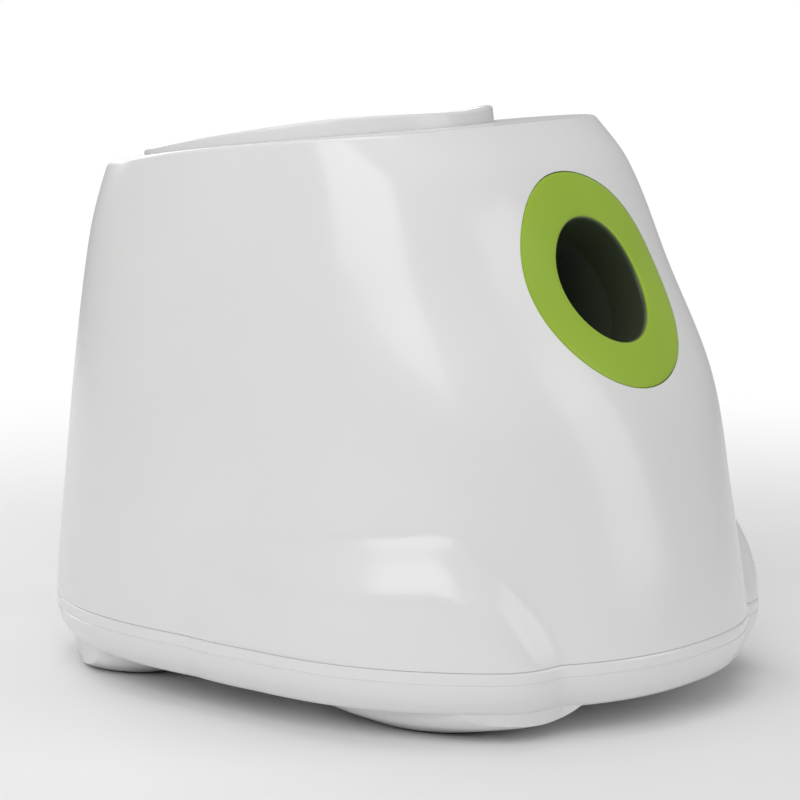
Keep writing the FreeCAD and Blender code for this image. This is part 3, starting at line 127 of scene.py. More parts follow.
def laidRings(name, rings, closed=False, capStart=False, capEnd=False):
    # quads between rings of points in millimetres, each ring with as many points
    form = bmesh.new()
    laid = [[form.verts.new(Vector(point) * mm) for point in ring] for ring in rings]
    count = len(laid[0])
    pairs = list(zip(laid, laid[1:]))
    if closed:
        pairs.append((laid[-1], laid[0]))
    for low, high in pairs:
        for index in range(count):
            after = (index + 1) % count
            form.faces.new((low[index], low[after], high[after], high[index]))
    if capStart:
        form.faces.new(list(reversed(laid[0])))
    if capEnd:
        form.faces.new(laid[-1])
    mesh = bpy.data.meshes.new(name)
    form.to_mesh(mesh)
    form.free()
    piece = bpy.data.objects.new(name, mesh)
    bpy.context.scene.collection.objects.link(piece)
    return piece


def finished(piece, material, body="housing", stands=()):
    piece.data.materials.clear()
    piece.data.materials.append(material)
    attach(piece, body)
    if stands:
        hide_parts(*stands)
    return piece


# Materials: the sizes and depths of their patterns are in millimetres

def hexColour(code):
    channels = [int(code[start:start + 2], 16) / 255.0 for start in (1, 3, 5)]
    linear = [value / 12.92 if value <= 0.04045 else ((value + 0.055) / 1.055) ** 2.4
              for value in channels]
    return (*linear, 1.0)


def addNode(material, kind, settings, links=None):
    # settings name a socket, or else a property; links name a socket and what feeds it
    node = material.node_tree.nodes.new(kind)
    for key, value in settings.items():
        if isinstance(key, int) or key in node.inputs:
            node.inputs[key].default_value = value
        else:
            setattr(node, key, value)
    for key, source in (links or {}).items():
        material.node_tree.links.new(source, node.inputs[key])
    return node


def startMaterial(name, settings):
    material = bpy.data.materials.new(name)
    material.use_nodes = True
    shader = material.node_tree.nodes["Principled BSDF"]
    for key, value in settings.items():
        shader.inputs[key].default_value = value
    place = addNode(material, "ShaderNodeTexCoord", {}).outputs["Object"]
    return material, shader, place


def finishSurface(material, shader, look, spread, colour=None, relief=None):
    # spread runs the roughness between the look's two values, and relief bumps the surface
    links = material.node_tree.links
    low, high = look.get("spreadLow", 0.0), look.get("spreadHigh", 1.0)
    rough = addNode(material, "ShaderNodeMapRange",
                    {"From Min": low, "From Max": high, "To Min": look["smoothest"],
                     "To Max": look["roughest"]}, {"Value": spread})
    links.new(rough.outputs["Result"], shader.inputs["Roughness"])
    if colour is not None:
        links.new(colour, shader.inputs["Base Color"])
    if relief is not None:
        bump = addNode(material, "ShaderNodeBump", {"Strength": look["reliefStrength"],
                                                    "Distance": look["reliefDepth"] * mm},
                       {"Height": relief})
        links.new(bump.outputs["Normal"], shader.inputs["Normal"])


def glossWhiteAbs():
    # ABS from a polished mould: clean gloss with a faint orange peel and slow shifts of tone
    look = {"pale": "#EDEDEC", "deep": "#E7E7E7", "toneSize": 90.0, "smudgeSize": 60.0,
            "spreadLow": 0.3, "spreadHigh": 0.75, "smoothest": 0.22, "roughest": 0.27,
            "peelSize": 2.6, "reliefStrength": 0.02, "reliefDepth": 0.2}
    material, shader, place = startMaterial("glossWhiteAbs", {
        "IOR": 1.54, "Specular IOR Level": 0.5, "Coat Weight": 0.15, "Coat Roughness": 0.05})
    tone = addNode(material, "ShaderNodeTexNoise",
                   {"Scale": perMetre / look["toneSize"], "Detail": 2.0}, {"Vector": place})
    colour = addNode(material, "ShaderNodeMix",
                     {"data_type": "RGBA", 6: hexColour(look["pale"]), 7: hexColour(look["deep"])},
                     {0: tone.outputs["Fac"]})
    smudge = addNode(material, "ShaderNodeTexNoise",
                     {"Scale": perMetre / look["smudgeSize"], "Detail": 1.0}, {"Vector": place})
    peel = addNode(material, "ShaderNodeTexNoise",
                   {"Scale": perMetre / look["peelSize"], "Detail": 1.0}, {"Vector": place})
    finishSurface(material, shader, look, spread=smudge.outputs["Fac"], colour=colour.outputs[2],
                  relief=peel.outputs["Fac"])
    return material


def paintedWhite():
    # pad-printed ink: matt, a little uneven at the edges of each stroke
    look = {"fresh": "#E8E8E2", "worn": "#CFCFC8", "patchSize": 1.4, "smoothest": 0.45,
            "roughest": 0.6}
    material, shader, place = startMaterial("paintedWhite", {
        "IOR": 1.5, "Specular IOR Level": 0.3})
    patch = addNode(material, "ShaderNodeTexNoise",
                    {"Scale": perMetre / look["patchSize"], "Detail": 2.0}, {"Vector": place})
    colour = addNode(material, "ShaderNodeMix",
                     {"data_type": "RGBA", 6: hexColour(look["fresh"]), 7: hexColour(look["worn"])},
                     {0: patch.outputs["Fac"]})
    finishSurface(material, shader, look, spread=patch.outputs["Fac"], colour=colour.outputs[2])
    return material


def limeAbs():
    # ABS coloured right through, from a mould with a fine satin etch
    # the sleeve colour is painted shade, laid on the ring deep in the launch hole
    look = {"fresh": "#A2C235", "deep": "#93B52B", "toneSize": 60.0, "sleeve": "#39422F",
            "holeShadeFrom": 1.6, "holeShadeFull": 0.6, "etchSize": 0.7, "reliefStrength": 0.08,
            "reliefDepth": 0.2, "smoothest": 0.3, "roughest": 0.44}
    material, shader, place = startMaterial("limeAbs", {"IOR": 1.54, "Specular IOR Level": 0.35})
    tone = addNode(material, "ShaderNodeTexNoise",
                   {"Scale": perMetre / look["toneSize"], "Detail": 2.0}, {"Vector": place})
    colour = addNode(material, "ShaderNodeMix",
                     {"data_type": "RGBA", 6: hexColour(look["fresh"]), 7: hexColour(look["deep"])},
                     {0: tone.outputs["Fac"]})
    # deep in the launch hole, near the bore, the green is darkened to grey-green: painted shade
    # inside the hole
    tilt = math.radians(launch["tilt"])
    axis = Vector((0, -math.cos(tilt), math.sin(tilt)))
    mouth = Vector((0, launch["y"] * mm, launch["z"] * mm))
    away = addNode(material, "ShaderNodeVectorMath", {"operation": "SUBTRACT", 1: mouth},
                   {0: place})
    radial = addNode(material, "ShaderNodeVectorMath", {"operation": "CROSS_PRODUCT", 1: axis},
                     {0: away.outputs["Vector"]})
    spread = addNode(material, "ShaderNodeVectorMath", {"operation": "LENGTH"},
                     {0: radial.outputs["Vector"]})
    inside = addNode(material, "ShaderNodeMapRange",
                     {"From Min": (launch["bore"] + look["holeShadeFrom"]) * mm,
                      "From Max": (launch["bore"] + look["holeShadeFull"]) * mm},
                     {"Value": spread.outputs["Value"]})
    shade = addNode(material, "ShaderNodeMix",
                    {"data_type": "RGBA", 7: hexColour(look["sleeve"])},
                    {0: inside.outputs["Result"], 6: colour.outputs[2]})
    etch = addNode(material, "ShaderNodeTexNoise",
                   {"Scale": perMetre / look["etchSize"], "Detail": 3.0}, {"Vector": place})
    finishSurface(material, shader, look, spread=etch.outputs["Fac"], colour=shade.outputs[2],
                  relief=etch.outputs["Fac"])
    return material


def ductAbs():
    # ABS from a spark-eroded mould: dull dark grey with an even fine grain
    look = {"grey": "#394034", "worn": "#464E3F", "scuffSize": 24.0, "smoothest": 0.5,
            "roughest": 0.68, "grainSize": 0.9, "reliefStrength": 0.2, "reliefDepth": 0.2}
    material, shader, place = startMaterial("ductAbs", {"IOR": 1.54, "Specular IOR Level": 0.4})
    scuff = addNode(material, "ShaderNodeTexNoise",
                    {"Scale": perMetre / look["scuffSize"], "Detail": 5.0}, {"Vector": place})
    colour = addNode(material, "ShaderNodeMix",
                     {"data_type": "RGBA", 6: hexColour(look["grey"]), 7: hexColour(look["worn"])},
                     {0: scuff.outputs["Fac"]})
    grain = addNode(material, "ShaderNodeTexVoronoi", {"Scale": perMetre / look["grainSize"]},
                    {"Vector": place})
    finishSurface(material, shader, look, spread=scuff.outputs["Fac"], colour=colour.outputs[2],
                  relief=grain.outputs["Distance"])
    return material


def blackNylon():
    # moulded nylon with glass fibre: black, half dull, with a slight mottle
    look = {"black": "#121214", "mottle": "#1D1D20", "mottleSize": 5.0, "smoothest": 0.34,
            "roughest": 0.55, "grainSize": 0.6, "reliefStrength": 0.12, "reliefDepth": 0.2}
    material, shader, place = startMaterial("blackNylon", {"IOR": 1.53, "Specular IOR Level": 0.45})
    mottle = addNode(material, "ShaderNodeTexNoise",
                     {"Scale": perMetre / look["mottleSize"], "Detail": 4.0}, {"Vector": place})
    colour = addNode(material, "ShaderNodeMix",
                     {"data_type": "RGBA", 6: hexColour(look["black"]),
                      7: hexColour(look["mottle"])}, {0: mottle.outputs["Fac"]})
    grain = addNode(material, "ShaderNodeTexNoise",
                    {"Scale": perMetre / look["grainSize"], "Detail": 2.0}, {"Vector": place})
    finishSurface(material, shader, look, spread=mottle.outputs["Fac"], colour=colour.outputs[2],
                  relief=grain.outputs["Fac"])
    return material


def tyreRubber():
    # soft black rubber with fibre dust from the balls on its tread
    look = {"rubber": "#1A1A1A", "dust": "#3A3D33", "dustSize": 6.0, "dustLow": 0.45,
            "dustHigh": 0.75, "dustMost": 0.6, "smoothest": 0.66, "roughest": 0.85,
            "poreSize": 0.8, "reliefStrength": 0.3, "reliefDepth": 0.2}
    material, shader, place = startMaterial("tyreRubber", {
        "IOR": 1.52, "Specular IOR Level": 0.3, "Sheen Weight": 0.15, "Sheen Roughness": 0.5})
    dust = addNode(material, "ShaderNodeTexNoise",
                   {"Scale": perMetre / look["dustSize"], "Detail": 6.0, "Roughness": 0.7},
                   {"Vector": place})
    spread = addNode(material, "ShaderNodeMapRange",
                     {"From Min": look["dustLow"], "From Max": look["dustHigh"],
                      "To Max": look["dustMost"]}, {"Value": dust.outputs["Fac"]})
    colour = addNode(material, "ShaderNodeMix",
                     {"data_type": "RGBA", 6: hexColour(look["rubber"]),
                      7: hexColour(look["dust"])}, {0: spread.outputs["Result"]})
    pore = addNode(material, "ShaderNodeTexVoronoi", {"Scale": perMetre / look["poreSize"]},
                   {"Vector": place})
    finishSurface(material, shader, look, spread=dust.outputs["Fac"], colour=colour.outputs[2],
                  relief=pore.outputs["Distance"])
    return material


def footRubber():
    # grey thermoplastic rubber, dull, with a fine pebbled grip
    look = {"grey": "#5B5D5F", "light": "#6A6C6E", "toneSize": 9.0, "smoothest": 0.7,
            "roughest": 0.86, "pebbleSize": 1.4, "reliefStrength": 0.35, "reliefDepth": 0.3}
    material, shader, place = startMaterial("footRubber", {"IOR": 1.5, "Specular IOR Level": 0.3})
    tone = addNode(material, "ShaderNodeTexNoise",
                   {"Scale": perMetre / look["toneSize"], "Detail": 3.0}, {"Vector": place})
    colour = addNode(material, "ShaderNodeMix",
                     {"data_type": "RGBA", 6: hexColour(look["grey"]), 7: hexColour(look["light"])},
                     {0: tone.outputs["Fac"]})
    pebble = addNode(material, "ShaderNodeTexVoronoi", {"Scale": perMetre / look["pebbleSize"]},
                     {"Vector": place})
    finishSurface(material, shader, look, spread=tone.outputs["Fac"], colour=colour.outputs[2],
                  relief=pebble.outputs["Distance"])
    return material


def zincPlate():
    # zinc plated steel sheet: cool grey with a cloudy spangle and a drawn grain
    look = {"bright": "#B9BCBF", "cloud": "#8F9396", "spangleSize": 3.0, "smoothest": 0.26,
            "roughest": 0.46, "drawSize": 0.5, "drawStretch": 0.06, "reliefStrength": 0.06,
            "reliefDepth": 0.1}
    material, shader, place = startMaterial("zincPlate", {"Metallic": 1.0})
    spangle = addNode(material, "ShaderNodeTexVoronoi", {"Scale": perMetre / look["spangleSize"]},
                      {"Vector": place})
    tone = addNode(material, "ShaderNodeSeparateColor", {}, {"Color": spangle.outputs["Color"]})
    colour = addNode(material, "ShaderNodeMix",
                     {"data_type": "RGBA", 6: hexColour(look["bright"]),
                      7: hexColour(look["cloud"])}, {0: tone.outputs["Red"]})
    stretch = addNode(material, "ShaderNodeMapping", {"Scale": (1.0, 1.0, look["drawStretch"])},
                      {"Vector": place})
    drawn = addNode(material, "ShaderNodeTexNoise",
                    {"Scale": perMetre / look["drawSize"], "Detail": 2.0},
                    {"Vector": stretch.outputs["Vector"]})
    finishSurface(material, shader, look, spread=drawn.outputs["Fac"], colour=colour.outputs[2],
                  relief=drawn.outputs["Fac"])
    return material


def groundSteel():
    # ground and polished spindle steel: bright, with fine grinding marks
    look = {"bright": "#C9CBCD", "mark": "#A9ACAF", "markSize": 0.3, "reliefStrength": 0.05,
            "reliefDepth": 0.1, "smoothest": 0.14, "roughest": 0.3}
    material, shader, place = startMaterial("groundSteel", {"Metallic": 1.0})
    marks = addNode(material, "ShaderNodeTexNoise",
                    {"Scale": perMetre / look["markSize"], "Detail": 3.0}, {"Vector": place})
    colour = addNode(material, "ShaderNodeMix",
                     {"data_type": "RGBA", 6: hexColour(look["bright"]),
                      7: hexColour(look["mark"])}, {0: marks.outputs["Fac"]})
    finishSurface(material, shader, look, spread=marks.outputs["Fac"], colour=colour.outputs[2],
                  relief=marks.outputs["Fac"])
    return material


def tinnedBrass():
    # brass strip under a thin tin plate: pale gold, slightly blotched
    look = {"gold": "#C9AE6B", "tin": "#B8B6AC", "blotchSize": 2.2, "smoothest": 0.2,
            "roughest": 0.42}
    material, shader, place = startMaterial("tinnedBrass", {"Metallic": 1.0})
    blotch = addNode(material, "ShaderNodeTexNoise",
                     {"Scale": perMetre / look["blotchSize"], "Detail": 4.0}, {"Vector": place})
    colour = addNode(material, "ShaderNodeMix",
                     {"data_type": "RGBA", 6: hexColour(look["gold"]), 7: hexColour(look["tin"])},
                     {0: blotch.outputs["Fac"]})
    finishSurface(material, shader, look, spread=blotch.outputs["Fac"], colour=colour.outputs[2])
    return material


def naturalAcetal():
    # uncoloured acetal: milky white, waxy, a little light passes into it
    look = {"milk": "#E9E6DB", "shade": "#DDD9CB", "toneSize": 7.0, "smoothest": 0.3,
            "roughest": 0.45}
    material, shader, place = startMaterial("naturalAcetal", {
        "IOR": 1.48, "Subsurface Weight": 0.12, "Subsurface Scale": 0.002})
    tone = addNode(material, "ShaderNodeTexNoise",
                   {"Scale": perMetre / look["toneSize"], "Detail": 3.0}, {"Vector": place})
    colour = addNode(material, "ShaderNodeMix",
                     {"data_type": "RGBA", 6: hexColour(look["milk"]), 7: hexColour(look["shade"])},
                     {0: tone.outputs["Fac"]})
    finishSurface(material, shader, look, spread=tone.outputs["Fac"], colour=colour.outputs[2])
    return material


def clearAcrylic():
    # moulded acrylic light pipe: faintly green, with a frosted tip
    look = {"tint": "#DDF2DC", "frostSize": 0.8, "smoothest": 0.12, "roughest": 0.3}
    material, shader, place = startMaterial("clearAcrylic", {
        "IOR": 1.49, "Transmission Weight": 0.85, "Base Color": hexColour(look["tint"])})
    frost = addNode(material, "ShaderNodeTexNoise",
                    {"Scale": perMetre / look["frostSize"], "Detail": 2.0}, {"Vector": place})
    finishSurface(material, shader, look, spread=frost.outputs["Fac"])
    return material


def solderMask():
    # green lacquer over glass cloth and copper: the tracks show as paler lines
    look = {"lacquer": "#0F4A2A", "track": "#1F6A3E", "trackPitch": 2.5, "bricksAcross": 4.0,
            "trackWidth": 0.03, "reliefStrength": 0.1, "reliefDepth": 0.1, "weaveSize": 0.6,
            "smoothest": 0.25, "roughest": 0.42}
    material, shader, place = startMaterial("solderMask", {
        "IOR": 1.5, "Coat Weight": 0.4, "Coat Roughness": 0.15})
    lacquer = hexColour(look["lacquer"])
    tracks = addNode(material, "ShaderNodeTexBrick",
                     {"Scale": perMetre / look["trackPitch"] / look["bricksAcross"],
                      "Color1": lacquer, "Color2": lacquer, "Mortar": hexColour(look["track"]),
                      "Mortar Size": look["trackWidth"]}, {"Vector": place})
    weave = addNode(material, "ShaderNodeTexNoise",
                    {"Scale": perMetre / look["weaveSize"], "Detail": 1.0}, {"Vector": place})
    finishSurface(material, shader, look, spread=weave.outputs["Fac"],
                  colour=tracks.outputs["Color"], relief=tracks.outputs["Fac"])
    return material


def extrudedAluminium():
    # aluminium extrusion with a thin natural anodised skin and drawing lines
    look = {"skin": "#C4C6C8", "line": "#A7AAAD", "lineSize": 0.5, "lineStretch": 0.05,
            "smoothest": 0.32, "roughest": 0.5}
    material, shader, place = startMaterial("extrudedAluminium", {"Metallic": 1.0})
    stretch = addNode(material, "ShaderNodeMapping", {"Scale": (1.0, look["lineStretch"], 1.0)},
                      {"Vector": place})
    lines = addNode(material, "ShaderNodeTexNoise",
                    {"Scale": perMetre / look["lineSize"], "Detail": 2.0},
                    {"Vector": stretch.outputs["Vector"]})
    colour = addNode(material, "ShaderNodeMix",
                     {"data_type": "RGBA", 6: hexColour(look["skin"]), 7: hexColour(look["line"])},
                     {0: lines.outputs["Fac"]})
    finishSurface(material, shader, look, spread=lines.outputs["Fac"], colour=colour.outputs[2])
    return material


finishes = {
    "white_shell": glossWhiteAbs(), "green_trim": limeAbs(), "grey_duct": ductAbs(),
    "black_hub": blackNylon(), "tyre_rubber": tyreRubber(), "foot_rubber": footRubber(),
    "motor_steel": zincPlate(), "shaft_steel": groundSteel(), "brass": tinnedBrass(),
    "gear_plastic": naturalAcetal(), "clear_lens": clearAcrylic(), "board_green": solderMask(),
    "heat_sink": extrudedAluminium(),
}
finishes["screw_steel"] = finishes["motor_steel"]
for part in frame["record"]["subparts"]:
    meshData = nodes[part["node"]].data
    meshData.materials.clear()
    meshData.materials.append(finishes[part["material_slot"]])
print("materials made:", len(finishes))


# The body's form, in millimetres: leans are read up the front, the back and the side

body = {
    "frontLength": 195.6, "rearLength": 195.8, "halfWidth": 150.0, "widestY": -12.0,
    "frontLean": [(15, 7), (26, 1.6), (40, 0), (100, 11.8), (163, 29.8), (225.3, 64.1),
                  (280.6, 91.4), (305, 117.5), (330, 150)],
    "rearLean": [(15, 11), (26, 2.2), (40, 0), (113, 8.3), (239, 22.5), (274.6, 32), (305, 46),
                 (330, 62)],
    "sideLean": [(15, 8), (26, 1.8), (40, 0), (100, 1), (165, 5), (225, 12), (265, 19), (305, 28),
                 (330, 35)],
    "frontSquareness": [(15, 2.3), (110, 2.35), (200, 2.7), (330, 2.7)], "rearSquareness": 2.6,
    "deckFront": (-78.3, 305.0), "deckRear": (163.8, 274.6), "deckCrown": 4.0,
    "deckRows": 7, "deckStart": 0.16, "columns": 256, "wallRows": 80, "wall": 3.0,
    "rimRadius": 2.4, "rimSteps": 5, "rimAngle": 45.0, "rimSearch": (200.0, 329.0, 26),
    "seam": 40.0, "grooveGap": 0.02, "grooveHalf": 0.45, "grooveDepth": 0.8,
    "grooveShoulder": (0.5, 0.35), "grooveEdge": (1.2, 0.05),
}

# the swelling at each lower front corner: angles are ahead of the side, shares run from its
# front end to its rear end
haunch = {
    "frontAngle": 56.0, "rearAngle": -8.0, "depth": 14.8, "rise": 34.0, "ease": 0.2,
    "crest": 113.0, "noseDrop": 62.0, "noseShare": 0.36, "nosePower": 1.6, "tailDrop": 16.0,
    "fadeIn": 0.2, "fadeOut": 0.3, "fadePower": 1.5,
}
collar = {"offset": 12.0, "radius": 97.0, "wall": 3.5, "frontHeight": 10.0, "rearHeight": 1.6,
          "drop": 7.5, "gap": 0.4, "lip": 1.5, "rollOff": 22.0, "rollStart": 0.55}


def between(table, height):
    # a smooth curve through the table's points, read at one height
    last = len(table) - 1
    index = 0
    while index < last - 1 and height > table[index + 1][0]:
        index += 1
    (z0, v0), (z1, v1) = table[index], table[index + 1]
    span = z1 - z0
    slope = (v1 - v0) / span
    start, end = slope, slope
    if index > 0:
        start = (v1 - table[index - 1][1]) / (z1 - table[index - 1][0])
    if index + 1 < last:
        end = (table[index + 2][1] - v0) / (table[index + 2][0] - z0)
    q = (height - z0) / span
    return (v0 * (2 * q ** 3 - 3 * q ** 2 + 1) + start * span * (q ** 3 - 2 * q ** 2 + q)
            + v1 * (3 * q ** 2 - 2 * q ** 3) + end * span * (q ** 3 - q ** 2))


def closeIn(low, high, halvings, past):
    # the place in a span where past starts to be true
    for _ in range(halvings):
        middle = (low + high) / 2.0
        if past(middle):
            high = middle
        else:
            low = middle
    return low


def haunchBulge(angle, height):
    # how far the swelling at a lower front corner stands out
    across = (haunch["frontAngle"] + angle) / (haunch["frontAngle"] - haunch["rearAngle"])
    if across <= 0.0 or across >= 1.0:
        return 0.0
    nose = max(0.0, haunch["noseShare"] - across) / haunch["noseShare"]
    crest = (haunch["crest"] - haunch["noseDrop"] * nose ** haunch["nosePower"]
             - haunch["tailDrop"] * across)
    under = (crest - height) / haunch["rise"]
    if under <= 0.0:
        return 0.0
    under = min(under, 1.0)
    eased = under * under * (1.0 + haunch["ease"]) / (under + haunch["ease"])
    rise = 1.0 - (1.0 - eased) ** 2
    tail = max(0.0, (across - haunch["fadeOut"]) / (1.0 - haunch["fadeOut"]))
    fade = min(1.0, across / haunch["fadeIn"]) * (1.0 - tail ** haunch["fadePower"])
    return haunch["depth"] * rise * math.sin(math.pi / 2 * fade)


def halfSizes(height, inset=0.0):
    # half width, reach to the front and reach to the rear at one height
    return (body["halfWidth"] - between(body["sideLean"], height) - inset,
            body["frontLength"] - between(body["frontLean"], height) - inset + body["widestY"],
            body["rearLength"] - between(body["rearLean"], height) - inset - body["widestY"])


def outlinePoint(angle, height, inset=0.0):
    # a point of the outline; angle 0 is the left side and -90 the front
    cos, sin = math.cos(math.radians(angle)), math.sin(math.radians(angle))
    halfWidth, front, rear = halfSizes(height, inset)
    reach = front if sin < 0 else rear
    power = between(body["frontSquareness"], height) if sin < 0 else body["rearSquareness"]
    x = math.copysign(abs(cos) ** (2.0 / power), cos) * halfWidth
    y = math.copysign(abs(sin) ** (2.0 / power), sin) * reach
    bulge = haunchBulge(math.degrees(math.asin(sin)), height)
    steep = math.hypot(x / halfWidth ** 2, y / reach ** 2)
    return Vector((x + bulge * x / halfWidth ** 2 / steep,
                   y + bulge * y / reach ** 2 / steep + body["widestY"], height))


def outlineAngles(columns):
    return [-90.0 + 360.0 * (index + 0.5) / columns for index in range(columns)]


# Frames of the crowned deck and of the launch hole

(deckFrontY, deckFrontZ), (deckRearY, deckRearZ) = body["deckFront"], body["deckRear"]
deckRun = math.dist(body["deckFront"], body["deckRear"])
deckTilt = math.atan2(deckFrontZ - deckRearZ, deckRearY - deckFrontY)
deckCurve = deckRun ** 2 / 8.0 / body["deckCrown"] + body["deckCrown"] / 2.0
deckUp = Vector((0, math.sin(deckTilt), math.cos(deckTilt)))
deckMiddle = Vector((0, (deckFrontY + deckRearY) / 2.0, (deckFrontZ + deckRearZ) / 2.0))
deckFrame = (Matrix.Translation(deckMiddle + deckUp * body["deckCrown"])
             @ Matrix.Rotation(-deckTilt, 4, "X"))
deckInverse = deckFrame.inverted()
launchFrame = (Matrix.Translation((0, launch["y"], launch["z"]))
               @ Matrix.Rotation(math.radians(90.0 - launch["tilt"]), 4, "X"))
bendCentre = launchFrame @ Vector((0, launch["bend"], -launch["straight"]))
throatY = bendCentre.y + launch["bend"]


def deckPoint(x, y):
    # a point on the crowned deck, from a place in the deck's own frame
    return deckFrame @ Vector((x, y, math.sqrt(deckCurve ** 2 - y ** 2) - deckCurve))


def rimHeight(angle):
    # where the wall meets the deck
    def aboveDeck(height):
        local = deckInverse @ outlinePoint(angle, height)
        return local.z > math.sqrt(deckCurve ** 2 - local.y ** 2) - deckCurve

    return closeIn(*body["rimSearch"], aboveDeck)


def frontDepth(x, y):
    # how far the body's front lies along the launch axis, for a place across it
    def outside(depth):
        point = launchFrame @ Vector((x, y, depth))
        halfWidth, front = halfSizes(point.z)[:2]
        power = between(body["frontSquareness"], point.z)
        return (abs(point.x / halfWidth) ** power
                + abs((point.y - body["widestY"]) / front) ** power) > 1.0

    return closeIn(*launch["frontSearch"], outside)


# White upper housing

def grooveSteps(side):
    # heights and insets away from the seam: side 1 goes up the housing, -1 down the tray
    half, depth = side * body["grooveHalf"], body["grooveDepth"]
    shoulder, edge = body["grooveShoulder"], body["grooveEdge"]
    return [(body["seam"] + side * body["grooveGap"], depth),
            (body["seam"] + half * shoulder[0], depth * shoulder[1]),
            (body["seam"] + half * edge[0], edge[1])]


def wallRings():
    angles = outlineAngles(body["columns"])
    rims = [rimHeight(angle) for angle in angles]
    rings = [[outlinePoint(angle, height, inset) for angle in angles]
             for height, inset in grooveSteps(1)]
    for row in range(1, body["wallRows"] + 1):
        share = row / body["wallRows"]
        rings.append([outlinePoint(angle, body["seam"] + share * (rim - body["seam"]))
                      for angle, rim in zip(angles, rims)])
    return rings


def deckRings(rim):
    # from just inside the rim to the round hole that the collar stands in
    hole = collar["radius"] + collar["gap"]
    places = [deckInverse @ point for point in rim]
    start, rows = body["deckStart"], body["deckRows"]
    rings = []
    for row in range(rows + 1):
        share = start + (1.0 - start) * row / rows
        ring = []
        for place in places:
            away = math.atan2(place.y - collar["offset"], place.x)
            x, y = hole * math.cos(away), hole * math.sin(away) + collar["offset"]
            ring.append(deckPoint(place.x + (x - place.x) * share,
                                  place.y + (y - place.y) * share))
        rings.append(ring)
    return rings


def ringCutter():
    deselectAll()
    bpy.ops.mesh.primitive_cylinder_add(vertices=launch["columns"], depth=launch["cutterDepth"],
                                        radius=launch["ringRadius"] + launch["ringGap"])
    cutter = bpy.context.active_object
    cutter.data.transform(Matrix.Translation((0, 0, launch["cutterShift"])))
    turnInto(cutter, launchFrame)
    return cutter


# the control panel's place on the rear wall, whose lean is read a little above and below it
panel = {"z": 103.0, "width": 68.0, "height": 32.0, "gap": 0.3, "leanSpan": 12.0, "columns": 96,
         "cutterLow": -14.0, "cutterHigh": 12.0}
wallLow = outlinePoint(90.0, panel["z"] - panel["leanSpan"])
wallHigh = outlinePoint(90.0, panel["z"] + panel["leanSpan"])
panelLean = math.atan2(wallLow.y - wallHigh.y, wallHigh.z - wallLow.z)
panelFrame = (Matrix.Translation(outlinePoint(90.0, panel["z"]))
              @ Matrix.Rotation(math.radians(-90.0) + panelLean, 4, "X"))


def panelCutter():
    # a rounded oblong prism, pulled out of a round one, in the panel's own frame
    stretch = (panel["width"] - panel["height"]) / 2.0
    low, high = panel["cutterLow"], panel["cutterHigh"]
    deselectAll()
    bpy.ops.mesh.primitive_cylinder_add(vertices=panel["columns"], depth=high - low,
                                        radius=panel["height"] / 2.0 + panel["gap"])
    cutter = bpy.context.active_object
    for vertex in cutter.data.vertices:
        vertex.co.x += stretch if vertex.co.x > 0 else -stretch
        vertex.co.z += (high + low) / 2.0
    turnInto(cutter, panelFrame)
    return cutter


def makeUpperHousing():
    wall = wallRings()
    shell = laidRings("upperHousingShell", wall + deckRings(wall[-1]))
    applyModifier(shell, "rim", "BEVEL", width=body["rimRadius"] * mm, segments=body["rimSteps"],
                  limit_method="ANGLE", angle_limit=math.radians(body["rimAngle"]),
                  use_clamp_overlap=True)
    applyModifier(shell, "wall", "SOLIDIFY", thickness=body["wall"] * mm, offset=-1.0)
    combine(shell, ringCutter(), "DIFFERENCE")
    combine(shell, panelCutter(), "DIFFERENCE")
    smoothByAngle(shell, 35.0)
    return finished(shell, finishes["white_shell"], stands=["upper_housing"])


makeUpperHousing()
print("upper housing made")


# Lime ring with its bell mouth, flush with the curved front

def makeLaunchRing():
    ring = {"mouthSteps": 6, "faceSteps": 10, "faceStart": 0.8, "edge": 0.9, "edgeTurn": 0.3,
            "flange": 5.0, "flangeDrop": 3.3, "flangeBack": 5.6, "backStart": 3.0,
            "backDrop": 1.0, "mouthWall": 1.5}
    mouth = launch["bore"] + launch["flare"]
    outer = launch["ringRadius"]
    back = mouth + ring["backStart"]
    rings = []

    def lay(radius, depth):
        rings.append([launchFrame @ Vector((radius * math.cos(turn), radius * math.sin(turn),
                                            depth(turn))) for turn in turns(launch["columns"])])

    def face(radius, drop=0.0):
        return lambda turn: frontDepth(radius * math.cos(turn), radius * math.sin(turn)) - drop

    def sleeveEnd(turn):
        return -launch["sleeve"]

    lay(launch["bore"], sleeveEnd)
    for step in range(ring["mouthSteps"] + 1):
        bell = math.pi / 2.0 * step / ring["mouthSteps"]
        lay(mouth - launch["flare"] * math.cos(bell),
            face(mouth, launch["flare"] * (1.0 - math.sin(bell))))
    for step in range(1, ring["faceSteps"] + 1):
        width = outer - ring["edge"] - mouth - ring["faceStart"]
        radius = mouth + ring["faceStart"] + width * step / ring["faceSteps"]
        lay(radius, face(radius))
    lay(outer - ring["edge"] * ring["edgeTurn"], face(outer, ring["edge"] * ring["edgeTurn"]))
    lay(outer, face(outer, ring["edge"]))
    lay(outer, face(outer, ring["flangeDrop"]))
    lay(outer + ring["flange"], face(outer + ring["flange"], ring["flangeDrop"]))
    lay(outer + ring["flange"], face(outer + ring["flange"], ring["flangeBack"]))
    lay(back, face(back, ring["flangeBack"] + ring["backDrop"]))
    lay(launch["bore"] + launch["sleeveWall"], face(mouth, launch["flare"] + ring["mouthWall"]))
    lay(launch["bore"] + launch["sleeveWall"], sleeveEnd)
    piece = laidRings("launchRing", rings, closed=True)
    smoothByAngle(piece, 40.0)
    return finished(piece, finishes["green_trim"], stands=["nozzle_ring"])


makeLaunchRing()
print("launch ring made")


# White funnel insert with its raised collar

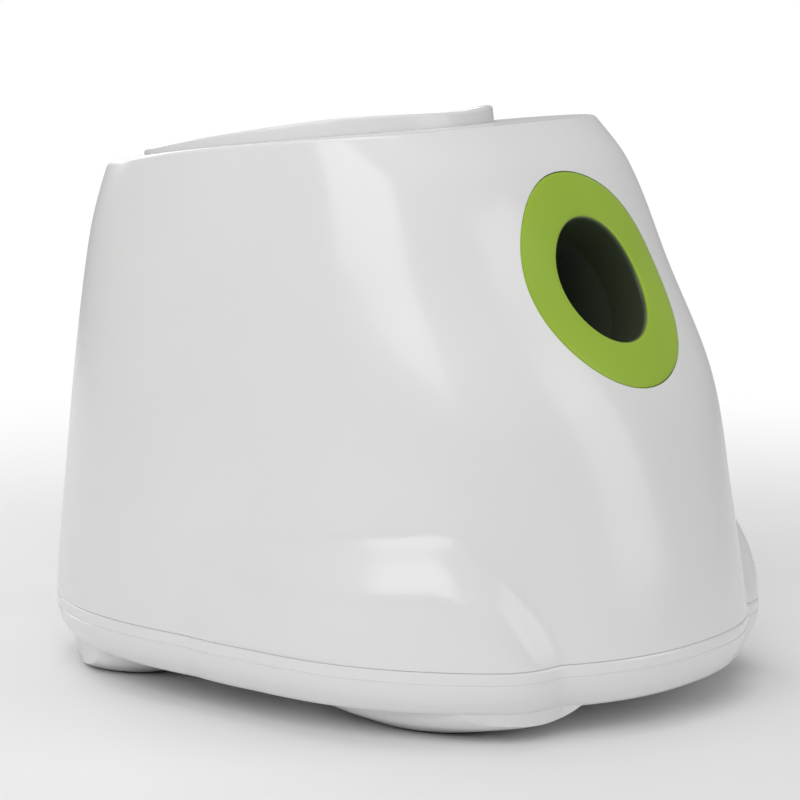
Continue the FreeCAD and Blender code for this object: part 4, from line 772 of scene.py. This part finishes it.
def makeFunnel():
    funnel = {"columns": 160, "wall": 2.6, "bowl": [(-27.0, 5.0, 79.0), (-44.0, 20.0, 57.0)],
              "steps": 8, "spoutTop": 229.0, "spoutEnd": 213.6, "spoutGap": 0.4,
              "spoutEase": 0.6, "spoutDrop": 2.5, "lipSteps": 5, "lipSkirt": 3.0,
              "flangeReach": 4.0, "flangeThickness": 2.5}
    angles = turns(funnel["columns"])
    inner = collar["radius"] - collar["wall"]
    spoutInner = launch["bore"] + funnel["spoutGap"]
    up = Vector((0, 0, 1))
    middleUp = (deckUp + up).normalized()
    # each station of the bowl: centre, upward direction and radius
    stations = [(deckFrame @ Vector((0, collar["offset"], -collar["drop"])), deckUp, inner)]
    for depth, shift, radius in funnel["bowl"]:
        centre = deckFrame @ Vector((0, collar["offset"] + shift, depth))
        stations.append((centre, middleUp, radius))
    stations.append((Vector((0, throatY, funnel["spoutTop"])), up,
                     spoutInner + funnel["spoutEase"]))

    def circle(centre, upward, radius):
        along = Vector((0, upward.z, -upward.y))
        return [centre + Vector((1, 0, 0)) * radius * math.cos(angle)
                + along * radius * math.sin(angle) for angle in angles]

    def smooth(values, share):
        return between([(float(index), value) for index, value in enumerate(values)], share)

    def smoothVector(item, share):
        return Vector([smooth([station[item][axis] for station in stations], share)
                       for axis in range(3)])

    def bowl(grow):
        rings = []
        for step in range(funnel["steps"] * (len(stations) - 1) + 1):
            share = step / funnel["steps"]
            radius = smooth([station[2] for station in stations], share) + grow
            rings.append(circle(smoothVector(0, share), smoothVector(1, share).normalized(),
                                radius))
        return rings

    def collarRing(radius, base, sloped=True):
        # the rim rises to the front, and rolls off at its very front
        ring = []
        for angle in angles:
            x, y = radius * math.cos(angle), radius * math.sin(angle)
            ahead = -y / collar["radius"]
            rise = (collar["frontHeight"] + collar["rearHeight"]) / 2.0
            rise += ahead * (collar["frontHeight"] - collar["rearHeight"]) / 2.0
            rise -= collar["rollOff"] * max(0.0, ahead - collar["rollStart"]) ** 2
            lift = base + (rise if sloped else 0.0)
            ring.append(deckFrame @ Vector((x, y + collar["offset"], lift)))
        return ring

    def spoutRing(height, radius):
        return circle(Vector((0, throatY, height)), up, radius)

    lip, flange = collar["lip"], collar["radius"] + funnel["flangeReach"]
    neck = funnel["spoutTop"] - funnel["spoutDrop"]
    rings = [spoutRing(funnel["spoutEnd"], spoutInner), spoutRing(neck, spoutInner)]
    rings += list(reversed(bowl(0.0)))
    rings.append(collarRing(inner, -lip * funnel["lipSkirt"]))
    for radius, turnStart in ((inner + lip, 180.0), (collar["radius"] - lip, 90.0)):
        for step in range(funnel["lipSteps"] + 1):
            turn = math.radians(turnStart - 90.0 * step / funnel["lipSteps"])
            rings.append(collarRing(radius + lip * math.cos(turn), lip * math.sin(turn) - lip))
    rings.append(collarRing(collar["radius"], -lip * funnel["lipSkirt"]))
    rings.append(collarRing(collar["radius"], -collar["drop"], sloped=False))
    rings.append(collarRing(flange, -collar["drop"], sloped=False))
    rings.append(collarRing(flange, -collar["drop"] - funnel["flangeThickness"], sloped=False))
    rings += bowl(funnel["wall"])[1:]
    rings.append(spoutRing(neck, spoutInner + funnel["wall"]))
    rings.append(spoutRing(funnel["spoutEnd"], spoutInner + funnel["wall"]))
    piece = laidRings("funnelInsert", rings, closed=True)
    smoothByAngle(piece, 40.0)
    return finished(piece, finishes["white_shell"], stands=["ball_funnel"])


makeFunnel()
print("funnel made")


# White base tray: lower wall, four feet, battery bay, screw wells and socket pocket

tray = {
    "bottom": 16.0, "wallStep": 2.0, "overlap": 1.0, "floorShares": (0.85, 0.6, 0.3),
    "bottomEdge": ((2.6, 0.0), (1.4, 0.35), (0.5, 1.2), (0.05, 2.6)),
    "lineZ": 33.5, "lineHalf": 0.5, "lineFloor": 0.2, "lineDepth": 0.32,
    "footTop": 19.0, "footMiddle": 9.0, "footLow": 1.6, "footSteps": 14, "footColumns": 96,
    "setIn": 1.0, "taper": 5.0, "columns": 192,
    "frontFoot": {"x": 92.0, "y": -89.0, "halfX": [27.0, 41.0, 46.0], "halfY": [38.0, 70.0, 90.0]},
    "rearFoot": {"x": 84.0, "y": 124.0, "halfX": [22.0, 35.0, 40.0], "halfY": [30.0, 48.0, 60.0]},
    "bay": (43.0, 57.0, 50.0), "bayWall": 2.5, "door": (48.5, 63.0, 2.6), "doorGap": 0.3,
    "doorTongue": 1.4, "doorTravel": 12.0, "screwAngles": (-78.0, 13.0, 78.0),
    "bossInset": 13.0, "bossRadius": 5.5, "bossRise": 3.9, "wellRadius": 3.3, "wellDrop": 8.0,
    "socketY": -95.7, "socketZ": 13.0, "socketFace": 128.0,
    "pocketRadius": 6.4, "pocketDepth": 3.0, "pocketReach": 30.0,
    "socketRadius": 5.2, "socketDepth": 20.0, "socketReach": 5.0,
}


def footRings(foot, side):
    low, top = tray["footLow"], tray["footTop"]
    levels = [low, tray["footMiddle"], top]
    rings = []
    for step in range(tray["footSteps"] + 1):
        level = low + (top - low) * step / tray["footSteps"]
        halfX = between(list(zip(levels, foot["halfX"])), level)
        halfY = between(list(zip(levels, foot["halfY"])), level)
        rings.append([(side * foot["x"] + halfX * math.cos(turn),
                       foot["y"] + halfY * math.sin(turn), level)
                      for turn in turns(tray["footColumns"])])
    return rings


def outlineRing(height, inset, level, columns):
    points = [outlinePoint(angle, height, inset) for angle in outlineAngles(columns)]
    return [(point.x, point.y, level) for point in points]


def bossPlaces():
    places = []
    for angle in tray["screwAngles"]:
        point = outlinePoint(angle, body["seam"], tray["bossInset"] + body["wall"])
        places += [(point.x, point.y), (-point.x, point.y)]
    return places


def footBulge(foot, side):
    # a soft round form, kept inside the tapering outline of the body
    bulge = laidRings("foot", footRings(foot, side), capStart=True, capEnd=True)
    top, inset = tray["footTop"], tray["setIn"]
    column = laidRings("column", [outlineRing(top, inset + tray["taper"], 0.0, tray["columns"]),
                                  outlineRing(top, inset, top, tray["columns"])],
                       capStart=True, capEnd=True)
    combine(bulge, column, "INTERSECT")
    return bulge


def trayShell():
    seam, low, step, line = body["seam"], tray["bottom"], tray["wallStep"], tray["lineZ"]
    heights = grooveSteps(-1)
    heights += [(seam - step * row, 0.0) for row in (1, 2, 3)]
    heights += [(line + tray["lineHalf"], 0.0), (line + tray["lineFloor"], tray["lineDepth"]),
                (line - tray["lineFloor"], tray["lineDepth"]), (line - tray["lineHalf"], 0.0)]
    heights += [(seam - step * row, 0.0) for row in range(5, 11)]
    heights += [(low + lift, inset) for lift, inset in tray["bottomEdge"]]
    rings = [outlineRing(height, inset, height, body["columns"]) for height, inset in heights]
    centre = Vector((0, 0, low))
    for share in tray["floorShares"]:
        rings.append([centre.lerp(Vector((point[0], point[1], low)), share)
                      for point in rings[-1]])
    shell = laidRings("baseTrayShell", list(reversed(rings)), capStart=True)
    applyModifier(shell, "wall", "SOLIDIFY", thickness=body["wall"] * mm, offset=-1.0)
    return shell


def makeBaseTray():
    shell = trayShell()
    seam, low, base = body["seam"], tray["bottom"], tray["bottom"] + tray["overlap"]
    halfX, halfY, top = tray["bay"]
    doorX, doorY, doorThick = tray["door"]
    wall, gap, tongue = tray["bayWall"], tray["doorGap"], tray["doorTongue"]
    doorEnd, roof = doorY + gap + tray["doorTravel"], low + doorThick + gap
    combine(shell, addBox((-halfX - wall, -halfY - wall, base),
                          (halfX + wall, halfY + wall, top + wall)), "UNION")
    combine(shell, addBox((-doorX - gap - wall, -doorY - gap - wall, base),
                          (doorX + gap + wall, doorEnd + wall, roof + wall)), "UNION")
    for x, y in bossPlaces():
        combine(shell, addRod(tray["bossRadius"], (x, y, base), (x, y, seam + tray["bossRise"])),
                "UNION")
    for foot in (tray["frontFoot"], tray["rearFoot"]):
        for side in (-1, 1):
            combine(shell, footBulge(foot, side), "UNION")
    combine(shell, addBox((-doorX - gap, -doorY - gap, low - tray["overlap"]),
                          (doorX + gap, doorEnd, roof)), "DIFFERENCE")
    combine(shell, addBox((-doorX - tongue - gap, -doorY - gap, base),
                          (doorX + tongue + gap, doorEnd, roof)), "DIFFERENCE")
    combine(shell, addBox((-halfX, -halfY, low), (halfX, halfY, top)), "DIFFERENCE")
    for x, y in bossPlaces():
        combine(shell, addRod(tray["wellRadius"], (x, y, 0.0), (x, y, seam - tray["wellDrop"])),
                "DIFFERENCE")
    face, y, z = tray["socketFace"], tray["socketY"], tray["socketZ"]
    for hole in ("pocket", "socket"):
        combine(shell, addRod(tray[hole + "Radius"], (face - tray[hole + "Depth"], y, z),
                              (face + tray[hole + "Reach"], y, z)), "DIFFERENCE")
    smoothByAngle(shell, 35.0)
    return finished(shell, finishes["white_shell"], stands=["base_tray"])


makeBaseTray()
print("base tray made")


# White marks on the control panel: 1 2 3 under the lenses, a power sign and three rising bars
# over the buttons

def makePanelMarks():
    marks = {"lift": 0.62, "depth": 0.06, "lensSpacing": 9.0, "numberY": 12.4, "numberSize": 3.6,
             "signX": 13.0, "signY": 11.7, "signRadius": 1.75, "signSteps": 24, "stroke": 0.42,
             "gapAngle": 38.0, "stemStart": 0.2, "stemReach": 0.5,
             "barPitch": 1.5, "barBottom": -1.6, "barTop": -0.4, "barRise": 1.1}
    outward = (panelFrame @ Matrix.Rotation(math.pi, 4, "Z")
               @ Matrix.Translation((0, 0, marks["lift"])))
    parts = []
    for index in range(3):
        deselectAll()
        bpy.ops.object.text_add()
        number = bpy.context.active_object
        number.data.body = str(index + 1)
        number.data.size = marks["numberSize"]
        number.data.align_x, number.data.align_y = "CENTER", "CENTER"
        number.data.extrude = marks["depth"]
        bpy.ops.object.convert(target="MESH")
        number = bpy.context.active_object
        number.location = ((index - 1) * marks["lensSpacing"], -marks["numberY"], 0)
        settle(number)
        turnInto(number, outward)
        parts.append(number)

    half, radius, depth = marks["stroke"] / 2.0, marks["signRadius"], marks["depth"]
    signX, signY, gap = marks["signX"], marks["signY"], marks["gapAngle"]
    section = ((-1, -depth), (1, -depth), (1, depth), (-1, depth))
    arc = []
    for step in range(marks["signSteps"] + 1):
        turn = math.radians(90.0 + gap + (360.0 - 2.0 * gap) * step / marks["signSteps"])
        arc.append([outward @ Vector((signX + (radius + side * half) * math.cos(turn),
                                      signY + (radius + side * half) * math.sin(turn), level))
                    for side, level in section])
    parts.append(laidRings("powerArc", arc, capStart=True, capEnd=True))
    bars = [(signX, signY + marks["stemStart"], signY + radius + marks["stemReach"])]
    bars += [(-signX + (step - 1) * marks["barPitch"], signY + marks["barBottom"],
              signY + marks["barTop"] + step * marks["barRise"]) for step in range(3)]
    for x, bottom, top in bars:
        ends = [[outward @ Vector((x + side * half, y, level)) for side, level in section]
                for y in (bottom, top)]
        parts.append(laidRings("bar", ends, capStart=True, capEnd=True))

    activate(parts[0])
    for part in parts:
        part.select_set(True)
    bpy.ops.object.join()
    piece = bpy.context.active_object
    piece.name = "panelMarks"
    activate(piece)
    bpy.ops.object.mode_set(mode="EDIT")
    bpy.ops.mesh.select_all(action="SELECT")
    bpy.ops.mesh.normals_make_consistent(inside=False)
    bpy.ops.object.mode_set(mode="OBJECT")
    return finished(piece, paintedWhite())


makePanelMarks()
print("panel marks made")


# Stage, lights and camera, in metres

studio = {"floorSize": 40.0, "paper": "#F2F2F2", "shade": "#EDEDED", "grain": 6.0,
          "fadeStart": 0.35, "fadeEnd": 1.1, "skyDim": 0.36, "skySeen": 1.0}
lamps = {
    "keyBox": {"place": (-1.7, -0.5, 1.5), "aim": (0, 0, 0.15), "size": (2.0, 1.6), "power": 21.0},
    "fillBox": {"place": (0.9, -1.7, 0.8), "aim": (0, 0, 0.15), "size": (1.0, 1.2), "power": 5.0},
    "topBox": {"place": (0.1, 0.3, 1.9), "aim": (0, 0, 0.2), "size": (1.4, 1.4), "power": 9.0},
    "rearBox": {"place": (0.6, 1.7, 0.9), "aim": (0, 0, 0.2), "size": (1.2, 0.8), "power": 8.0},
}
camera = {"azimuth": -54.0, "elevation": 8.5, "distance": 1.9, "aim": (0.0, 0.0, 0.150),
          "span": 0.44, "sensor": 36.0}


def makeFloor():
    # matt paper near the object, which fades to plain white where the camera sees it far off
    deselectAll()
    bpy.ops.mesh.primitive_plane_add(size=studio["floorSize"], location=(0, 0, 0))
    floor = bpy.context.active_object
    floor.name = "studioFloor"
    material, shader, place = startMaterial("matPaper", {
        "Roughness": 0.9, "Specular IOR Level": 0.1})
    grain = addNode(material, "ShaderNodeTexNoise", {"Scale": studio["grain"]}, {"Vector": place})
    colour = addNode(material, "ShaderNodeMix",
                     {"data_type": "RGBA", 6: hexColour(studio["paper"]),
                      7: hexColour(studio["shade"])}, {0: grain.outputs["Fac"]})
    material.node_tree.links.new(colour.outputs[2], shader.inputs["Base Color"])
    away = addNode(material, "ShaderNodeVectorMath", {"operation": "LENGTH"}, {0: place})
    fade = addNode(material, "ShaderNodeMapRange",
                   {"interpolation_type": "SMOOTHSTEP", "From Min": studio["fadeStart"],
                    "From Max": studio["fadeEnd"]}, {"Value": away.outputs["Value"]})
    path = addNode(material, "ShaderNodeLightPath", {})
    seen = addNode(material, "ShaderNodeMath", {"operation": "MULTIPLY"},
                   {0: fade.outputs["Result"], 1: path.outputs["Is Camera Ray"]})
    white = addNode(material, "ShaderNodeEmission", {"Color": (1, 1, 1, 1), "Strength": 1.0})
    blend = addNode(material, "ShaderNodeMixShader", {},
                    {0: seen.outputs["Value"], 1: shader.outputs["BSDF"],
                     2: white.outputs["Emission"]})
    output = material.node_tree.nodes["Material Output"]
    material.node_tree.links.new(blend.outputs["Shader"], output.inputs["Surface"])
    floor.data.materials.append(material)


def addLamp(name, place, aim, size, power):
    lamp = bpy.data.lights.new(name, "AREA")
    lamp.shape = "RECTANGLE"
    lamp.size, lamp.size_y = size
    lamp.energy = power
    holder = bpy.data.objects.new(name, lamp)
    holder.location = place
    holder.rotation_euler = (Vector(aim) - Vector(place)).to_track_quat("-Z", "Y").to_euler()
    bpy.context.scene.collection.objects.link(holder)


def makeWorld():
    # the sky lights the object dimly, and is white where it is seen, also through clear pieces
    world = bpy.data.worlds.new("studioWorld")
    world.use_nodes = True
    bpy.context.scene.world = world
    sky = world.node_tree.nodes["Background"]
    sky.inputs["Color"].default_value = (1, 1, 1, 1)
    path = addNode(world, "ShaderNodeLightPath", {})
    seen = addNode(world, "ShaderNodeMath", {"operation": "MAXIMUM"},
                   {0: path.outputs["Is Camera Ray"], 1: path.outputs["Is Transmission Ray"]})
    strength = addNode(world, "ShaderNodeMapRange",
                       {"To Min": studio["skyDim"], "To Max": studio["skySeen"]},
                       {"Value": seen.outputs[0]})
    world.node_tree.links.new(strength.outputs["Result"], sky.inputs["Strength"])


def makeCamera():
    around, up = math.radians(camera["azimuth"]), math.radians(camera["elevation"])
    back = Vector((math.sin(around) * math.cos(up), -math.cos(around) * math.cos(up),
                   math.sin(up)))
    data = bpy.data.cameras.new("mainCamera")
    data.sensor_width = camera["sensor"]
    data.lens = camera["sensor"] * camera["distance"] / camera["span"]
    holder = bpy.data.objects.new("mainCamera", data)
    holder.location = Vector(camera["aim"]) + back * camera["distance"]
    holder.rotation_euler = back.to_track_quat("Z", "Y").to_euler()
    bpy.context.scene.collection.objects.link(holder)
    bpy.context.scene.camera = holder


makeFloor()
for name, settings in lamps.items():
    addLamp(name, **settings)
makeWorld()
makeCamera()
bpy.context.scene.view_settings.view_transform = "Standard"
deselectAll()
print("stage set")
